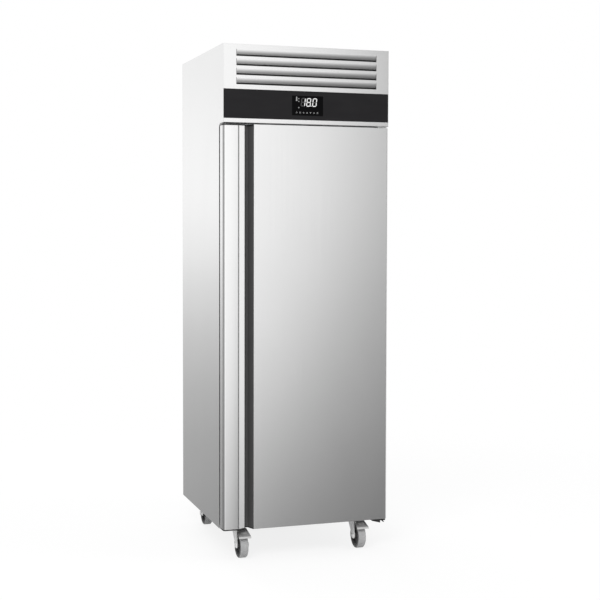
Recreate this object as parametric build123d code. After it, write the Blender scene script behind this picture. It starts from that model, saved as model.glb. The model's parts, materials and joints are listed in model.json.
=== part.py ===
from build123d import *
from math import atan2, cos, degrees, hypot, radians, sin, tan
import os

os.makedirs("parts", exist_ok=True)

# Upright one-door freezer on casters, in millimetres.
# The origin is on the floor under the middle of the cabinet, the door faces -Y, +Z is up.
# The door hangs on the right (+X) and its handle stile is at the left.

# Overall size
WIDTH = 680.0
DEPTH = 700.0
HEIGHT = 2010.0

# Cabinet sheets and foamed walls, each wall measured over both of its sheets
SHEET = 1.0
LINER_SHEET = 0.8
SIDE_WALL = 60.0
BACK_WALL = 60.0
FLOOR_WALL = 60.0
ROOF_WALL = 70.0
FIT = 0.2
PANEL_FIT = 0.3
FRAME_LAP = 28.0
REAR_FLANGE = 15.0
NOTCH_RADIUS = 20.0
LINER_CORNER = 12.0
TRIM_THICK = 3.0
TRIM_LIP = 2.0
TRIM_LIP_DEPTH = 12.0

# Front fascia over the door
GRILLE_ZONE = 174.0
STRIP_HEIGHT = 110.0
LOWER_BAND = 18.0
DECK_RISE = 22.0
FASCIA_SHEET = 1.2
FASCIA_BEND = 1.3
FASCIA_TOP_RETURN = 25.0
STRIP_THICK = 3.0
STRIP_CHAMFER = 0.8
LOUVRE_COUNT = 4
LOUVRE_FIRST = 21.0
LOUVRE_LAST = 23.0
LOUVRE_HEIGHT = 22.0
LOUVRE_MARGIN = 52.0
LOUVRE_DEPTH = 14.0
LOUVRE_SLIT = 5.0
LOUVRE_LIP = 3.0
LOUVRE_BEND = 5.0
LOUVRE_END_GAP = 1.5
DISPLAY_WIDTH = 128.0
DISPLAY_HEIGHT = 77.0
DISPLAY_BODY_INSET = 8.0
DISPLAY_BODY_DEPTH = 20.0
CONTROLLER_WIDTH = 150.0
CONTROLLER_HEIGHT = 92.0
CONTROLLER_DEPTH = 48.0
CONTROLLER_WALL = 2.5

# Door
DOOR_THICKNESS = 52.0
GASKET_GAP = 12.0
DOOR_TOP_GAP = 5.0
DOOR_STEP = 3.0
DOOR_INNER_SHEET = 2.0
DOOR_RETURN = 14.0
DOOR_LEFT_CORNER = 11.0
DOOR_RIGHT_CORNER = 5.0
BEND = 2.0
CAP_THICK = 5.0
CAP_ROUND = 1.5
HANDLE_BEND = 62.0
HANDLE_BEND_RADIUS = 3.0
HANDLE_LIP = 88.0
HANDLE_LIP_DEPTH = 20.0
PANEL_EDGE = 122.0
PANEL_EDGE_DEPTH = 10.0
CHANNEL_THICK = 2.0
CHANNEL_DEPTH = 38.0
CHANNEL_FLOOR_RIGHT = 108.0
CHANNEL_POCKET_LEFT = 69.0
CHANNEL_BEND = 4.0
CHANNEL_START_DEPTH = 2.0
FIELD_INSET = 44.0
FIELD_RISE = 8.0
FIELD_CORNER = 20.0
GASKET_INSET = 10.0
GASKET_WIDTH = 22.0
GASKET_BASE = 4.0
GASKET_NECK = 10.0
GASKET_NECK_HEIGHT = 2.0
MAGNET_INSET = 1.0
MAGNET_WIDTH = 14.0
GASKET_CLEAR = 0.5
DART_WIDTH = 4.6
DART_DEPTH = 1.3

# Door hinge
PIVOT_INSET = 14.0
PIVOT_DEPTH = 20.0
HINGE_PIN_RADIUS = 5.0
HINGE_PIN_LENGTH = 16.0
HINGE_BOSS_RADIUS = 7.5
HINGE_RUN_FIT = 0.1
BUSH_RADIUS = 8.0
BUSH_LENGTH = 20.0
UPPER_PLATE = 3.0
LOWER_PLATE = 4.0
HINGE_PLATE_REACH = 14.0
HINGE_PLATE_SIDE = 12.0
HINGE_PLATE_WIDTH = 42.0
UPPER_LEG_HEIGHT = 40.0
LOWER_PLATE_TAIL = 60.0
WEDGE_WIDTH = 34.0
WEDGE_GAP = 10.0
WEDGE_DROP = 9.0
WEDGE_DEPTH = 46.0

# Shelves, their runners and uprights
SHELF_LEVELS = (520.0, 865.0, 1205.0)
SHELF_SIDE_GAP = 5.0
SHELF_FRONT_GAP = 13.0
SHELF_ROD = 8.0
SHELF_CORNER = 12.0
SHELF_WIRE = 2.8
SHELF_WIRE_COUNT = 23
SHELF_BAR = 5.0
SHELF_BAR_INSET = 150.0
SHELF_BACK_GAP = 6.0
UPRIGHT_WIDTH = 25.0
UPRIGHT_DEPTH = 10.0
UPRIGHT_SHEET = 1.2
UPRIGHT_INSET = 75.0
UPRIGHT_BOTTOM_GAP = 55.0
UPRIGHT_TOP_GAP = 150.0
SLOT_WIDTH = 8.0
SLOT_HEIGHT = 20.0
SLOT_SLANT = 4.0
SLOT_PITCH = 65.0
SLOT_FIRST = 40.0
RUNNER_SHEET = 1.2
RUNNER_WEB = 20.0
RUNNER_LEDGE = 16.0
RUNNER_LIP = 5.0
RUNNER_HOOK_HEIGHT = 12.0
RUNNER_END_GAP = 14.0

# Evaporator and its air duct at the ceiling of the compartment
DUCT_SIDE_GAP = 30.0
DUCT_DEPTH = 375.0
DUCT_HEIGHT = 125.0
DUCT_SHEET = 1.2
DUCT_FRONT_DROP = 40.0
DUCT_FRONT_RUN = 30.0
DUCT_REAR_GAP = 12.0
DUCT_FAN_INSET = 121.0
EVAP_FAN_RADIUS = 75.0
EVAP_FAN_OPENING = 80.0
GUARD_SPOKES = 8
GUARD_SPOKE = 5.0
GUARD_RINGS = (30.0, 55.0)
GUARD_RING_WIDTH = 4.0
EVAP_MOTOR_RADIUS = 32.0
EVAP_MOTOR_LENGTH = 75.0
EVAP_COIL_SIDE_GAP = 50.0
EVAP_COIL_DEPTH = 100.0
EVAP_COIL_HEIGHT = 84.0
EVAP_COIL_BACK_GAP = 35.0
TRAY_SHEET = 1.0
TRAY_MARGIN = 18.0
DRAIN_X = 100.0
DRAIN_RADIUS = 8.0
DRAIN_BORE = 6.0
DRAIN_SETBACK = 32.0
DRAIN_BEND = 24.0
PAN_WIDTH = 270.0
PAN_DEPTH = 180.0
PAN_HEIGHT = 42.0
PAN_SHEET = 2.5
PAN_BACK_GAP = 20.0
PAN_AIR_GAP = 8.0

# Machine compartment
CONDENSER_X = 30.0
CONDENSER_WIDTH = 300.0
CONDENSER_HEIGHT = 216.0
CONDENSER_DEPTH = 40.0
CONDENSER_FROM_FRONT = 75.0
CONDENSER_FINS = 30
FIN_GROOVE = 4.0
FIN_GROOVE_DEPTH = 3.0
END_PLATE = 1.5
COIL_TUBE = 4.8
COIL_ROWS = 4
SHROUD_DEPTH = 36.0
SHROUD_WALL = 1.5
COND_FAN_RADIUS = 92.0
COND_FAN_OPENING = 98.0
COND_MOTOR_RADIUS = 35.0
COND_MOTOR_LENGTH = 62.0
FAN_BLADES = 5
FAN_HUB = 24.0
FAN_HUB_LENGTH = 24.0
FAN_SHAFT = 4.0
FAN_SHAFT_REACH = 18.0
FAN_ROOT_CHORD = 34.0
FAN_TIP_CHORD = 62.0
FAN_ROOT_PITCH = 38.0
FAN_TIP_PITCH = 24.0
FAN_BLADE_THICK = 1.6
MOTOR_ARM = 14.0
MOTOR_ARM_THICK = 2.0
COMPRESSOR_SIDE_INSET = 175.0
COMPRESSOR_BACK_INSET = 220.0
COMPRESSOR_RADIUS = 74.0
COMPRESSOR_HEIGHT = 168.0
COMPRESSOR_SEAM = 5.0
COMPRESSOR_SEAM_RISE = 92.0
COMPRESSOR_LAP = 5.0
COMPRESSOR_BOWL = 22.0
COMPRESSOR_DOME = 34.0
TERMINAL_REACH = 14.0
TERMINAL_WIDTH = 46.0
TERMINAL_HEIGHT = 44.0
STUB_RISE = 122.0
STUB_REACH = 14.0
COMPRESSOR_BASE_WIDTH = 178.0
COMPRESSOR_BASE_DEPTH = 128.0
COMPRESSOR_BASE = 3.0
FOOT_HEIGHT = 14.0
FOOT_RADIUS = 13.0
FOOT_STUD = 4.0
STUB_RADIUS = 5.0
PIPE_RADIUS = 5.0
THIN_PIPE_RADIUS = 3.5
PIPE_BEND = 18.0
DRIER_RADIUS = 11.0
DRIER_LENGTH = 90.0
ELECTRIC_SIDE_INSET = 85.0
ELECTRIC_WIDTH = 120.0
ELECTRIC_DEPTH = 70.0
ELECTRIC_HEIGHT = 130.0
ELECTRIC_WALL = 2.5
GLAND_RISE = 70.0
GLAND_BORE = 4.6
BOX_HOLE = 6.0
GLAND_THREAD = 8.0
GLAND_HEX = 12.0
GLAND_NUT_LENGTH = 5.0
GLAND_CAP_LENGTH = 14.0
VENT_ROWS = 9
VENT_COLUMNS = 3
VENT_PITCH = 22.0
VENT_LENGTH = 130.0
VENT_HEIGHT = 6.0
VENT_SPACING = 165.0
VENT_SHIFT = 60.0
COVER_FLANGE = 15.0

# Casters
CASTER_SIDE_GAP = 5.0
CASTER_FRONT_GAP = 25.0
CASTER_REAR_GAP = 2.0
CASTER_TRAIL = 38.0
WHEEL_RADIUS = 50.0
WHEEL_WIDTH = 32.0
WHEEL_HUB_WIDTH = 36.0
WHEEL_HUB_RADIUS = 12.0
WHEEL_CORE_RADIUS = 41.0
WHEEL_RIM = 33.0
WHEEL_WEB = 14.0
WHEEL_CHAMFER = 3.0
AXLE_RADIUS = 6.0
AXLE_FIT = 0.1
AXLE_HEAD = 5.0
AXLE_NUT = 7.0
AXLE_HEX = 9.5
CASTER_PLATE_X = 90.0
CASTER_PLATE_Y = 80.0
CASTER_PLATE = 3.0
PLATE_HOLE_X = 70.0
PLATE_HOLE_Y = 60.0
PLATE_HOLE_RADIUS = 4.3
RACE_RADIUS = 30.0
RACE_HEIGHT = 4.0
RACE_GAP = 0.3
FORK_SHEET = 3.0
FORK_LEG_GAP = 0.5
WHEEL_TOP_GAP = 5.0
FORK_REAR = 26.0
FORK_FRONT = 26.0
FORK_DISH = 26.0
FORK_DISH_RISE = 9.7
FORK_DISH_CHAMFER = 4.0
FORK_AXLE_EYE = 12.0
FORK_EAR = 7.5
KINGPIN_RADIUS = 8.0
KINGPIN_HEAD = 13.0
KINGPIN_HEAD_HEIGHT = 3.0
PEDAL_PIVOT_Y = -34.0
PEDAL_PIVOT_DROP = 2.0
PEDAL_PIN = 3.0
PEDAL_SHEET = 2.5
PEDAL_REAR = -30.0
PEDAL_KNEE = -54.0
PEDAL_TOE = -92.0
PEDAL_RISE = 4.5
PEDAL_FALL = 19.0
PEDAL_LIP = 5.5
PEDAL_REAR_WIDTH = 37.0
PEDAL_TOE_WIDTH = 50.0
PEDAL_CHEEK = 2.5
PEDAL_CHEEK_OUT = 17.0
PEDAL_BOSS_LENGTH = 26.0
PEDAL_BOSS_WIDTH = 13.0
PEDAL_BOSS_RISE = 1.5
SHOE_GAP = 3.0
SHOE_Y = -49.0
SHOE_THICK = 5.0
SHOE_WIDTH = 26.0

# Places that follow from the sizes above
LEFT = -WIDTH / 2
RIGHT = WIDTH / 2
FRONT = -DEPTH / 2
BACK = DEPTH / 2
TOP = HEIGHT
WHEEL_REACH = CASTER_TRAIL + WHEEL_RADIUS
FORK_TOP = 2 * WHEEL_RADIUS + WHEEL_TOP_GAP + FORK_SHEET
BOTTOM = FORK_TOP + FORK_DISH_RISE + RACE_GAP + RACE_HEIGHT + CASTER_PLATE
BODY_FRONT = FRONT + DOOR_THICKNESS + GASKET_GAP
LOUVRE_PITCH = (GRILLE_ZONE - LOUVRE_FIRST - LOUVRE_HEIGHT - LOUVRE_LAST) / (LOUVRE_COUNT - 1)
STRIP_TOP = TOP - GRILLE_ZONE
STRIP_BOTTOM = STRIP_TOP - STRIP_HEIGHT
STRIP_MIDDLE = STRIP_TOP - STRIP_HEIGHT / 2
FASCIA_BOTTOM = STRIP_BOTTOM - LOWER_BAND
DECK_TOP = FASCIA_BOTTOM + DECK_RISE
DOOR_TOP = FASCIA_BOTTOM - DOOR_TOP_GAP
DOOR_BOTTOM = BOTTOM + DOOR_STEP
OPENING_BOTTOM = DOOR_BOTTOM + FRAME_LAP
OPENING_TOP = DOOR_TOP - FRAME_LAP
INNER_HALF = WIDTH / 2 - SIDE_WALL
INNER_BACK = BACK - BACK_WALL
INNER_FLOOR = BOTTOM + FLOOR_WALL
INNER_CEILING = DECK_TOP - ROOF_WALL
LINER_FRONT = BODY_FRONT + TRIM_LIP_DEPTH
SKIN_DEPTH = DOOR_THICKNESS - DOOR_INNER_SHEET
RETURN_ANGLE = atan2(HANDLE_LIP_DEPTH, HANDLE_LIP - HANDLE_BEND)
RETURN_LENGTH = hypot(HANDLE_LIP_DEPTH, HANDLE_LIP - HANDLE_BEND)
PIVOT_X = RIGHT - PIVOT_INSET
PIVOT_Y = FRONT + PIVOT_DEPTH
DUCT_HALF = INNER_HALF - DUCT_SIDE_GAP
DUCT_FRONT = INNER_BACK - DUCT_DEPTH
DUCT_FAN_Y = DUCT_FRONT + DUCT_FAN_INSET
DUCT_BOTTOM = INNER_CEILING - DUCT_HEIGHT
EVAP_COIL_WIDTH = 2 * (DUCT_HALF - EVAP_COIL_SIDE_GAP)
EVAP_COIL_Y = INNER_BACK - EVAP_COIL_BACK_GAP - EVAP_COIL_DEPTH / 2
COMPRESSOR_X = RIGHT - COMPRESSOR_SIDE_INSET
COMPRESSOR_Y = BACK - COMPRESSOR_BACK_INSET
ELECTRIC_X = LEFT + ELECTRIC_SIDE_INSET
FAN_CENTRE_Z = DECK_TOP + CONDENSER_HEIGHT / 2
FAN_HALF_DEPTH = FAN_TIP_CHORD / 2 * sin(radians(FAN_TIP_PITCH)) + FAN_BLADE_THICK
CONDENSER_FRONT = FRONT + CONDENSER_FROM_FRONT
CONDENSER_BACK = CONDENSER_FRONT + CONDENSER_DEPTH
SHROUD_BACK = CONDENSER_BACK + SHROUD_DEPTH
GLAND_Z = DECK_TOP + GLAND_RISE
DRAIN_Y = INNER_BACK + DRAIN_SETBACK
DRAIN_Z = DUCT_BOTTOM + DUCT_SHEET + DRAIN_RADIUS
FORK_LEG_IN = WHEEL_HUB_WIDTH / 2 + FORK_LEG_GAP
FORK_LEG_OUT = FORK_LEG_IN + FORK_SHEET
PEDAL_PIVOT_Z = FORK_TOP - PEDAL_PIVOT_DROP
PEDAL_TOP_Z = FORK_TOP + PEDAL_RISE
PEDAL_TOE_Z = PEDAL_TOP_Z - PEDAL_FALL


# Building blocks

def block(x0, x1, y0, y1, z0, z1):
    """Box between two opposite corners."""
    middle = Pos((x0 + x1) / 2, (y0 + y1) / 2, (z0 + z1) / 2)
    return middle * Box(x1 - x0, y1 - y0, z1 - z0)


def bar_x(x0, x1, y, z, radius):
    """Round bar along X."""
    return Pos((x0 + x1) / 2, y, z) * Rot(0, 90, 0) * Cylinder(radius, x1 - x0)


def bar_y(x, y0, y1, z, radius):
    """Round bar along Y."""
    return Pos(x, (y0 + y1) / 2, z) * Rot(90, 0, 0) * Cylinder(radius, y1 - y0)


def bar_z(x, y, z0, z1, radius):
    """Round bar along Z."""
    return Pos(x, y, (z0 + z1) / 2) * Cylinder(radius, z1 - z0)


def extrude_x(face, x0, x1):
    """Solid from a section drawn in Y and Z."""
    return extrude(Pos(x0, 0, 0) * (Plane.YZ * face), amount=x1 - x0, dir=(1, 0, 0))


def extrude_y(face, y0, y1):
    """Solid from a section drawn in X and Z."""
    return extrude(Pos(0, y0, 0) * (Plane.XZ * face), amount=y1 - y0, dir=(0, 1, 0))


def extrude_z(face, z0, z1):
    """Solid from a section drawn in X and Y."""
    return extrude(Pos(0, 0, z0) * face, amount=z1 - z0, dir=(0, 0, 1))


def bent_sheet(points, radii, thickness):
    """Section of a folded sheet whose middle line runs through the points."""
    return trace(FilletPolyline(*points, radius=radii), thickness)


def outline(points, radii):
    """Closed section through the points, each corner with its own radius."""
    corners = Polyline(*points, close=True)
    face = make_face(corners)
    for point, radius in zip(points, radii):
        if radius > 0:
            corner = face.vertices().sort_by_distance((point[0], point[1], 0))[0]
            face = fillet(corner, radius)
    return face


def rounded_window(half_width, z0, z1, radius):
    """Upright rounded rectangle in X and Z, centred on X."""
    return Pos(0, (z0 + z1) / 2) * RectangleRounded(2 * half_width, z1 - z0, radius)


def both_sides(shape):
    """The right-hand piece and its mirror image."""
    return [shape, mirror(shape, Plane.YZ)]


# Cabinet shell

def right_side_panel():
    """Side sheet that runs forward over the door, with its front and rear flanges."""
    corners = [
        (BODY_FRONT, FASCIA_BOTTOM),
        (BODY_FRONT, BOTTOM),
        (BACK - SHEET, BOTTOM),
        (BACK - SHEET, TOP),
        (FRONT, TOP),
        (FRONT, FASCIA_BOTTOM),
    ]
    skin = extrude_x(outline(corners, [NOTCH_RADIUS, 0, 0, 0, 0, 0]), RIGHT - SHEET, RIGHT)
    front = block(RIGHT - FRAME_LAP, RIGHT - SHEET, BODY_FRONT, BODY_FRONT + SHEET,
                  BOTTOM + SHEET, DECK_TOP - SHEET)
    rear = block(RIGHT - REAR_FLANGE, RIGHT - SHEET, BACK - 2 * SHEET, BACK - SHEET,
                 BOTTOM + SHEET, TOP - COVER_FLANGE - PANEL_FIT)
    return skin + front + rear


def back_panel():
    """Flat rear sheet from the base to the deck."""
    return block(LEFT, RIGHT, BACK - SHEET, BACK, BOTTOM, DECK_TOP)


def base_panel():
    """Bottom sheet with its upturned front flange and the drain hole."""
    floor = block(LEFT + SHEET, RIGHT - SHEET, BODY_FRONT, BACK - SHEET, BOTTOM, BOTTOM + SHEET)
    flange = block(LEFT + FRAME_LAP, RIGHT - FRAME_LAP, BODY_FRONT, BODY_FRONT + SHEET,
                   BOTTOM, OPENING_BOTTOM)
    drain = bar_z(DRAIN_X, DRAIN_Y, BOTTOM - SHEET, BOTTOM + 2 * SHEET, DRAIN_RADIUS + FIT)
    return floor + flange - drain


def machine_deck():
    """Sheet over the foamed roof that carries the cooling unit, with its front flange."""
    sheet = block(LEFT + SHEET, RIGHT - SHEET, BODY_FRONT, BACK - 2 * SHEET, DECK_TOP - SHEET, DECK_TOP)
    flange = block(LEFT + FRAME_LAP, RIGHT - FRAME_LAP, BODY_FRONT, BODY_FRONT + SHEET,
                   OPENING_TOP, DECK_TOP)
    return sheet + flange - suction_path(PIPE_RADIUS + FIT) - liquid_path(THIN_PIPE_RADIUS + FIT)


def inner_liner():
    """Pressed liner of the storage compartment, open at the front."""
    outer = rounded_window(INNER_HALF + LINER_SHEET, INNER_FLOOR - LINER_SHEET,
                           INNER_CEILING + LINER_SHEET, LINER_CORNER + LINER_SHEET)
    inner = rounded_window(INNER_HALF, INNER_FLOOR, INNER_CEILING, LINER_CORNER)
    box = extrude_y(outer, LINER_FRONT, INNER_BACK + LINER_SHEET)
    liner = box - extrude_y(inner, LINER_FRONT, INNER_BACK)
    drain = bar_y(DRAIN_X, INNER_BACK - SHEET, INNER_BACK + 2 * SHEET, DRAIN_Z, DRAIN_RADIUS + FIT)
    return liner - drain - suction_path(PIPE_RADIUS + FIT) - liquid_path(THIN_PIPE_RADIUS + FIT)


def cabinet_insulation():
    """Foam between the liner and the outer sheets, as side, floor, roof and back blocks that meet."""
    front = BODY_FRONT + TRIM_THICK + FIT
    x1 = RIGHT - SHEET - FIT
    y1 = BACK - 2 * SHEET - FIT
    z0 = BOTTOM + SHEET + FIT
    z1 = DECK_TOP - SHEET - FIT
    foam = block(-x1, x1, front, y1, z0, z1)
    skin = LINER_SHEET + FIT
    floor_top = INNER_FLOOR - skin
    roof_under = INNER_CEILING + skin
    back_face = INNER_BACK + skin
    cavity = extrude_y(rounded_window(INNER_HALF + skin, floor_top, roof_under, LINER_CORNER + skin),
                       front, back_face)
    lip = TRIM_LIP + FIT
    mouth = extrude_y(rounded_window(INNER_HALF + lip, INNER_FLOOR - lip, INNER_CEILING + lip,
                                     LINER_CORNER + lip), front, LINER_FRONT + FIT)
    drain = drain_route(DRAIN_RADIUS + FIT, INNER_BACK)
    pipes = suction_path(PIPE_RADIUS + FIT) + liquid_path(THIN_PIPE_RADIUS + FIT)
    foam = foam - cavity - mouth - drain - pipes
    flat = INNER_HALF - LINER_CORNER
    return [
        foam & block(-x1, -flat, front, y1, z0, z1),
        foam & block(flat, x1, front, y1, z0, z1),
        foam & block(-flat, flat, front, y1, z0, floor_top),
        foam & block(-flat, flat, front, y1, roof_under, z1),
        foam & block(-flat, flat, back_face, y1, floor_top, roof_under),
    ]


def door_frame_trim():
    """Plastic frame that bridges the liner and the outer sheets round the opening."""
    plate = block(LEFT + FRAME_LAP, RIGHT - FRAME_LAP, BODY_FRONT, BODY_FRONT + TRIM_THICK,
                  OPENING_BOTTOM, OPENING_TOP)
    lip = extrude_y(rounded_window(INNER_HALF + TRIM_LIP, INNER_FLOOR - TRIM_LIP,
                                   INNER_CEILING + TRIM_LIP, LINER_CORNER + TRIM_LIP),
                    BODY_FRONT, LINER_FRONT)
    mouth = extrude_y(rounded_window(INNER_HALF, INNER_FLOOR, INNER_CEILING, LINER_CORNER),
                      BODY_FRONT, LINER_FRONT)
    return plate + lip - mouth


def top_cover():
    """Lid of the machine compartment, with its flanges turned down."""
    x0 = LEFT + SHEET + FIT
    x1 = RIGHT - SHEET - FIT
    y0 = FRONT + FASCIA_TOP_RETURN + FIT
    y1 = BACK - SHEET - FIT
    lid = block(x0, x1, y0, y1, TOP - COVER_FLANGE, TOP)
    hollow = block(x0 + SHEET, x1 - SHEET, y0 + SHEET, y1 - SHEET, TOP - COVER_FLANGE, TOP - SHEET)
    return lid - hollow


def rear_vent_panel():
    """Slotted sheet behind the machine compartment, with the hole of the cord gland."""
    panel = block(LEFT, RIGHT, BACK - SHEET, BACK, DECK_TOP, TOP)
    slots = []
    for row in range(VENT_ROWS):
        for column in range(VENT_COLUMNS):
            x = VENT_SHIFT + (column - (VENT_COLUMNS - 1) / 2) * VENT_SPACING
            z = (DECK_TOP + TOP) / 2 + (row - (VENT_ROWS - 1) / 2) * VENT_PITCH
            slots.append(block(x - VENT_LENGTH / 2, x + VENT_LENGTH / 2, BACK - 2 * SHEET,
                               BACK + SHEET, z - VENT_HEIGHT / 2, z + VENT_HEIGHT / 2))
    return panel - slots - bar_y(ELECTRIC_X, BACK - 2 * SHEET, BACK + SHEET, GLAND_Z, GLAND_THREAD + FIT)


# Front fascia, its louvres and the controls

def louvre_blade(high):
    """One blade pressed in from the upper edge of its window, here at this height."""
    low = high - LOUVRE_HEIGHT
    face = FRONT + FASCIA_SHEET / 2
    rear = FRONT + LOUVRE_DEPTH - FASCIA_SHEET / 2
    free_edge = low + LOUVRE_SLIT
    points = [(face, high + FASCIA_SHEET), (face, high - FASCIA_SHEET),
              (rear, free_edge + LOUVRE_LIP), (rear, free_edge)]
    return bent_sheet(points, [LOUVRE_BEND, LOUVRE_LIP / 2], FASCIA_SHEET)


def front_fascia():
    """Folded front over the door, with a pocket for the control strip and pressed louvres."""
    half = FASCIA_SHEET / 2
    face = FRONT + half
    pocket = FRONT + STRIP_THICK + half
    points = [
        (FRONT + FASCIA_TOP_RETURN, TOP - half),
        (face, TOP - half),
        (face, STRIP_TOP + half),
        (pocket, STRIP_TOP + half),
        (pocket, STRIP_BOTTOM - half),
        (face, STRIP_BOTTOM - half),
        (face, FASCIA_BOTTOM + half),
        (BODY_FRONT, FASCIA_BOTTOM + half),
    ]
    x0 = LEFT + SHEET + FIT
    x1 = RIGHT - SHEET - FIT
    fascia = extrude_x(bent_sheet(points, FASCIA_BEND, FASCIA_SHEET), x0, x1)
    window_left = LEFT + LOUVRE_MARGIN
    window_right = RIGHT - LOUVRE_MARGIN
    windows = []
    blades = []
    for row in range(LOUVRE_COUNT):
        high = TOP - LOUVRE_FIRST - row * LOUVRE_PITCH
        windows.append(block(window_left, window_right, FRONT - SHEET, FRONT + 2 * FASCIA_SHEET,
                             high - LOUVRE_HEIGHT, high))
        blades.append(extrude_x(louvre_blade(high), window_left + LOUVRE_END_GAP,
                                window_right - LOUVRE_END_GAP))
    body_half = DISPLAY_WIDTH / 2 - DISPLAY_BODY_INSET + PANEL_FIT
    body_rise = DISPLAY_HEIGHT / 2 - DISPLAY_BODY_INSET + PANEL_FIT
    opening = block(-body_half, body_half, FRONT, pocket + FASCIA_SHEET,
                    STRIP_MIDDLE - body_rise, STRIP_MIDDLE + body_rise)
    hinge_notch = block(PIVOT_X + HINGE_PLATE_SIDE - HINGE_PLATE_WIDTH - PANEL_FIT, RIGHT,
                        BODY_FRONT - UPPER_PLATE - PANEL_FIT, BODY_FRONT,
                        FASCIA_BOTTOM - SHEET, FASCIA_BOTTOM + 2 * FASCIA_SHEET)
    return fascia - windows + blades - opening - hinge_notch


def control_strip():
    """Black strip set flush in the fascia, with the window of the display."""
    strip = block(LEFT + SHEET + PANEL_FIT, RIGHT - SHEET - PANEL_FIT, FRONT, FRONT + STRIP_THICK,
                  STRIP_BOTTOM + FIT, STRIP_TOP - FIT)
    strip = chamfer(strip.edges().filter_by(Axis.X).sort_by(Axis.Y)[-2:], STRIP_CHAMFER)
    half = DISPLAY_WIDTH / 2
    rise = DISPLAY_HEIGHT / 2
    window = block(-half, half, FRONT - SHEET, FRONT + 2 * STRIP_THICK,
                   STRIP_MIDDLE - rise, STRIP_MIDDLE + rise)
    return strip - window


def display_module():
    """Glossy display with touch keys: a front plate and the body behind it."""
    half = DISPLAY_WIDTH / 2 - FIT
    rise = DISPLAY_HEIGHT / 2 - FIT
    plate = block(-half, half, FRONT, FRONT + STRIP_THICK, STRIP_MIDDLE - rise, STRIP_MIDDLE + rise)
    body_half = DISPLAY_WIDTH / 2 - DISPLAY_BODY_INSET
    body_rise = DISPLAY_HEIGHT / 2 - DISPLAY_BODY_INSET
    body = block(-body_half, body_half, FRONT + STRIP_THICK, FRONT + STRIP_THICK + DISPLAY_BODY_DEPTH,
                 STRIP_MIDDLE - body_rise, STRIP_MIDDLE + body_rise)
    return plate + body


def controller_box():
    """Plastic housing of the control board, screwed to the back of the fascia."""
    y0 = FRONT + STRIP_THICK + FASCIA_SHEET
    half = CONTROLLER_WIDTH / 2
    rise = CONTROLLER_HEIGHT / 2
    box = block(-half, half, y0, y0 + CONTROLLER_DEPTH, STRIP_MIDDLE - rise, STRIP_MIDDLE + rise)
    box = fillet(box.edges().filter_by(Axis.Y), 2 * CONTROLLER_WALL)
    hollow = block(-half + CONTROLLER_WALL, half - CONTROLLER_WALL, y0,
                   y0 + CONTROLLER_DEPTH - CONTROLLER_WALL,
                   STRIP_MIDDLE - rise + CONTROLLER_WALL, STRIP_MIDDLE + rise - CONTROLLER_WALL)
    return box - hollow


# Door

def at(u, v):
    """Plan point this far from the door's left edge and this far behind its front."""
    return (LEFT + u, FRONT + v)


def on_return(along, behind):
    """Plan point this far along the slanted handle return and this far behind its outer face."""
    u = HANDLE_BEND + along * cos(RETURN_ANGLE) - behind * sin(RETURN_ANGLE)
    v = along * sin(RETURN_ANGLE) + behind * cos(RETURN_ANGLE)
    return at(u, v)


def door_handle_stile():
    """Folded steel stile at the left, with the slanted return that the fingers pull on."""
    half = SHEET / 2
    points = [
        at(DOOR_RETURN, SKIN_DEPTH - half),
        at(half, SKIN_DEPTH - half),
        at(half, half),
        at(HANDLE_BEND - half * tan(RETURN_ANGLE / 2), half),
        on_return(RETURN_LENGTH, half),
    ]
    section = bent_sheet(points, [BEND, DOOR_LEFT_CORNER, HANDLE_BEND_RADIUS], SHEET)
    return extrude_z(section, DOOR_BOTTOM + CAP_THICK, DOOR_TOP - CAP_THICK)


def door_handle_channel():
    """Dark plastic lining of the handle recess, with a finger pocket behind the return."""
    half = CHANNEL_THICK / 2
    floor = CHANNEL_DEPTH - half
    away = SHEET + half
    start = (CHANNEL_POCKET_LEFT - HANDLE_BEND + away * sin(RETURN_ANGLE)) / cos(RETURN_ANGLE)
    points = [
        at(PANEL_EDGE - half, CHANNEL_START_DEPTH),
        at(CHANNEL_FLOOR_RIGHT, floor),
        at(CHANNEL_POCKET_LEFT, floor),
        on_return(start, away),
        on_return(RETURN_LENGTH - half, away),
    ]
    section = bent_sheet(points, [CHANNEL_BEND, CHANNEL_BEND, BEND], CHANNEL_THICK)
    return extrude_z(section, DOOR_BOTTOM + CAP_THICK, DOOR_TOP - CAP_THICK)


def cap_outline():
    """Plan section of the door's handle side, over the stile and behind the recess."""
    points = [at(0, 0), at(PANEL_EDGE, 0), at(PANEL_EDGE, SKIN_DEPTH), at(0, SKIN_DEPTH)]
    return outline(points, [DOOR_LEFT_CORNER + SHEET / 2, 0, 0, BEND])


def recess_outline():
    """Plan section of the open recess, along the return's face and the inside of its channel."""
    behind = SHEET + CHANNEL_THICK
    floor = CHANNEL_DEPTH - CHANNEL_THICK
    left = CHANNEL_POCKET_LEFT + CHANNEL_THICK / 2
    start = (left - HANDLE_BEND + behind * sin(RETURN_ANGLE)) / cos(RETURN_ANGLE)
    inner = CHANNEL_BEND - CHANNEL_THICK / 2
    points = [
        at(HANDLE_BEND, -SHEET),
        at(HANDLE_BEND, 0),
        on_return(RETURN_LENGTH, 0),
        on_return(RETURN_LENGTH, behind),
        on_return(start, behind),
        at(left, floor),
        at(CHANNEL_FLOOR_RIGHT - CHANNEL_THICK / 2, floor),
        at(PANEL_EDGE - CHANNEL_THICK, CHANNEL_START_DEPTH),
        at(PANEL_EDGE - CHANNEL_THICK, -SHEET),
    ]
    return outline(points, [0, 0, 0, 0, 0, inner, inner, 0, 0])


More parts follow.
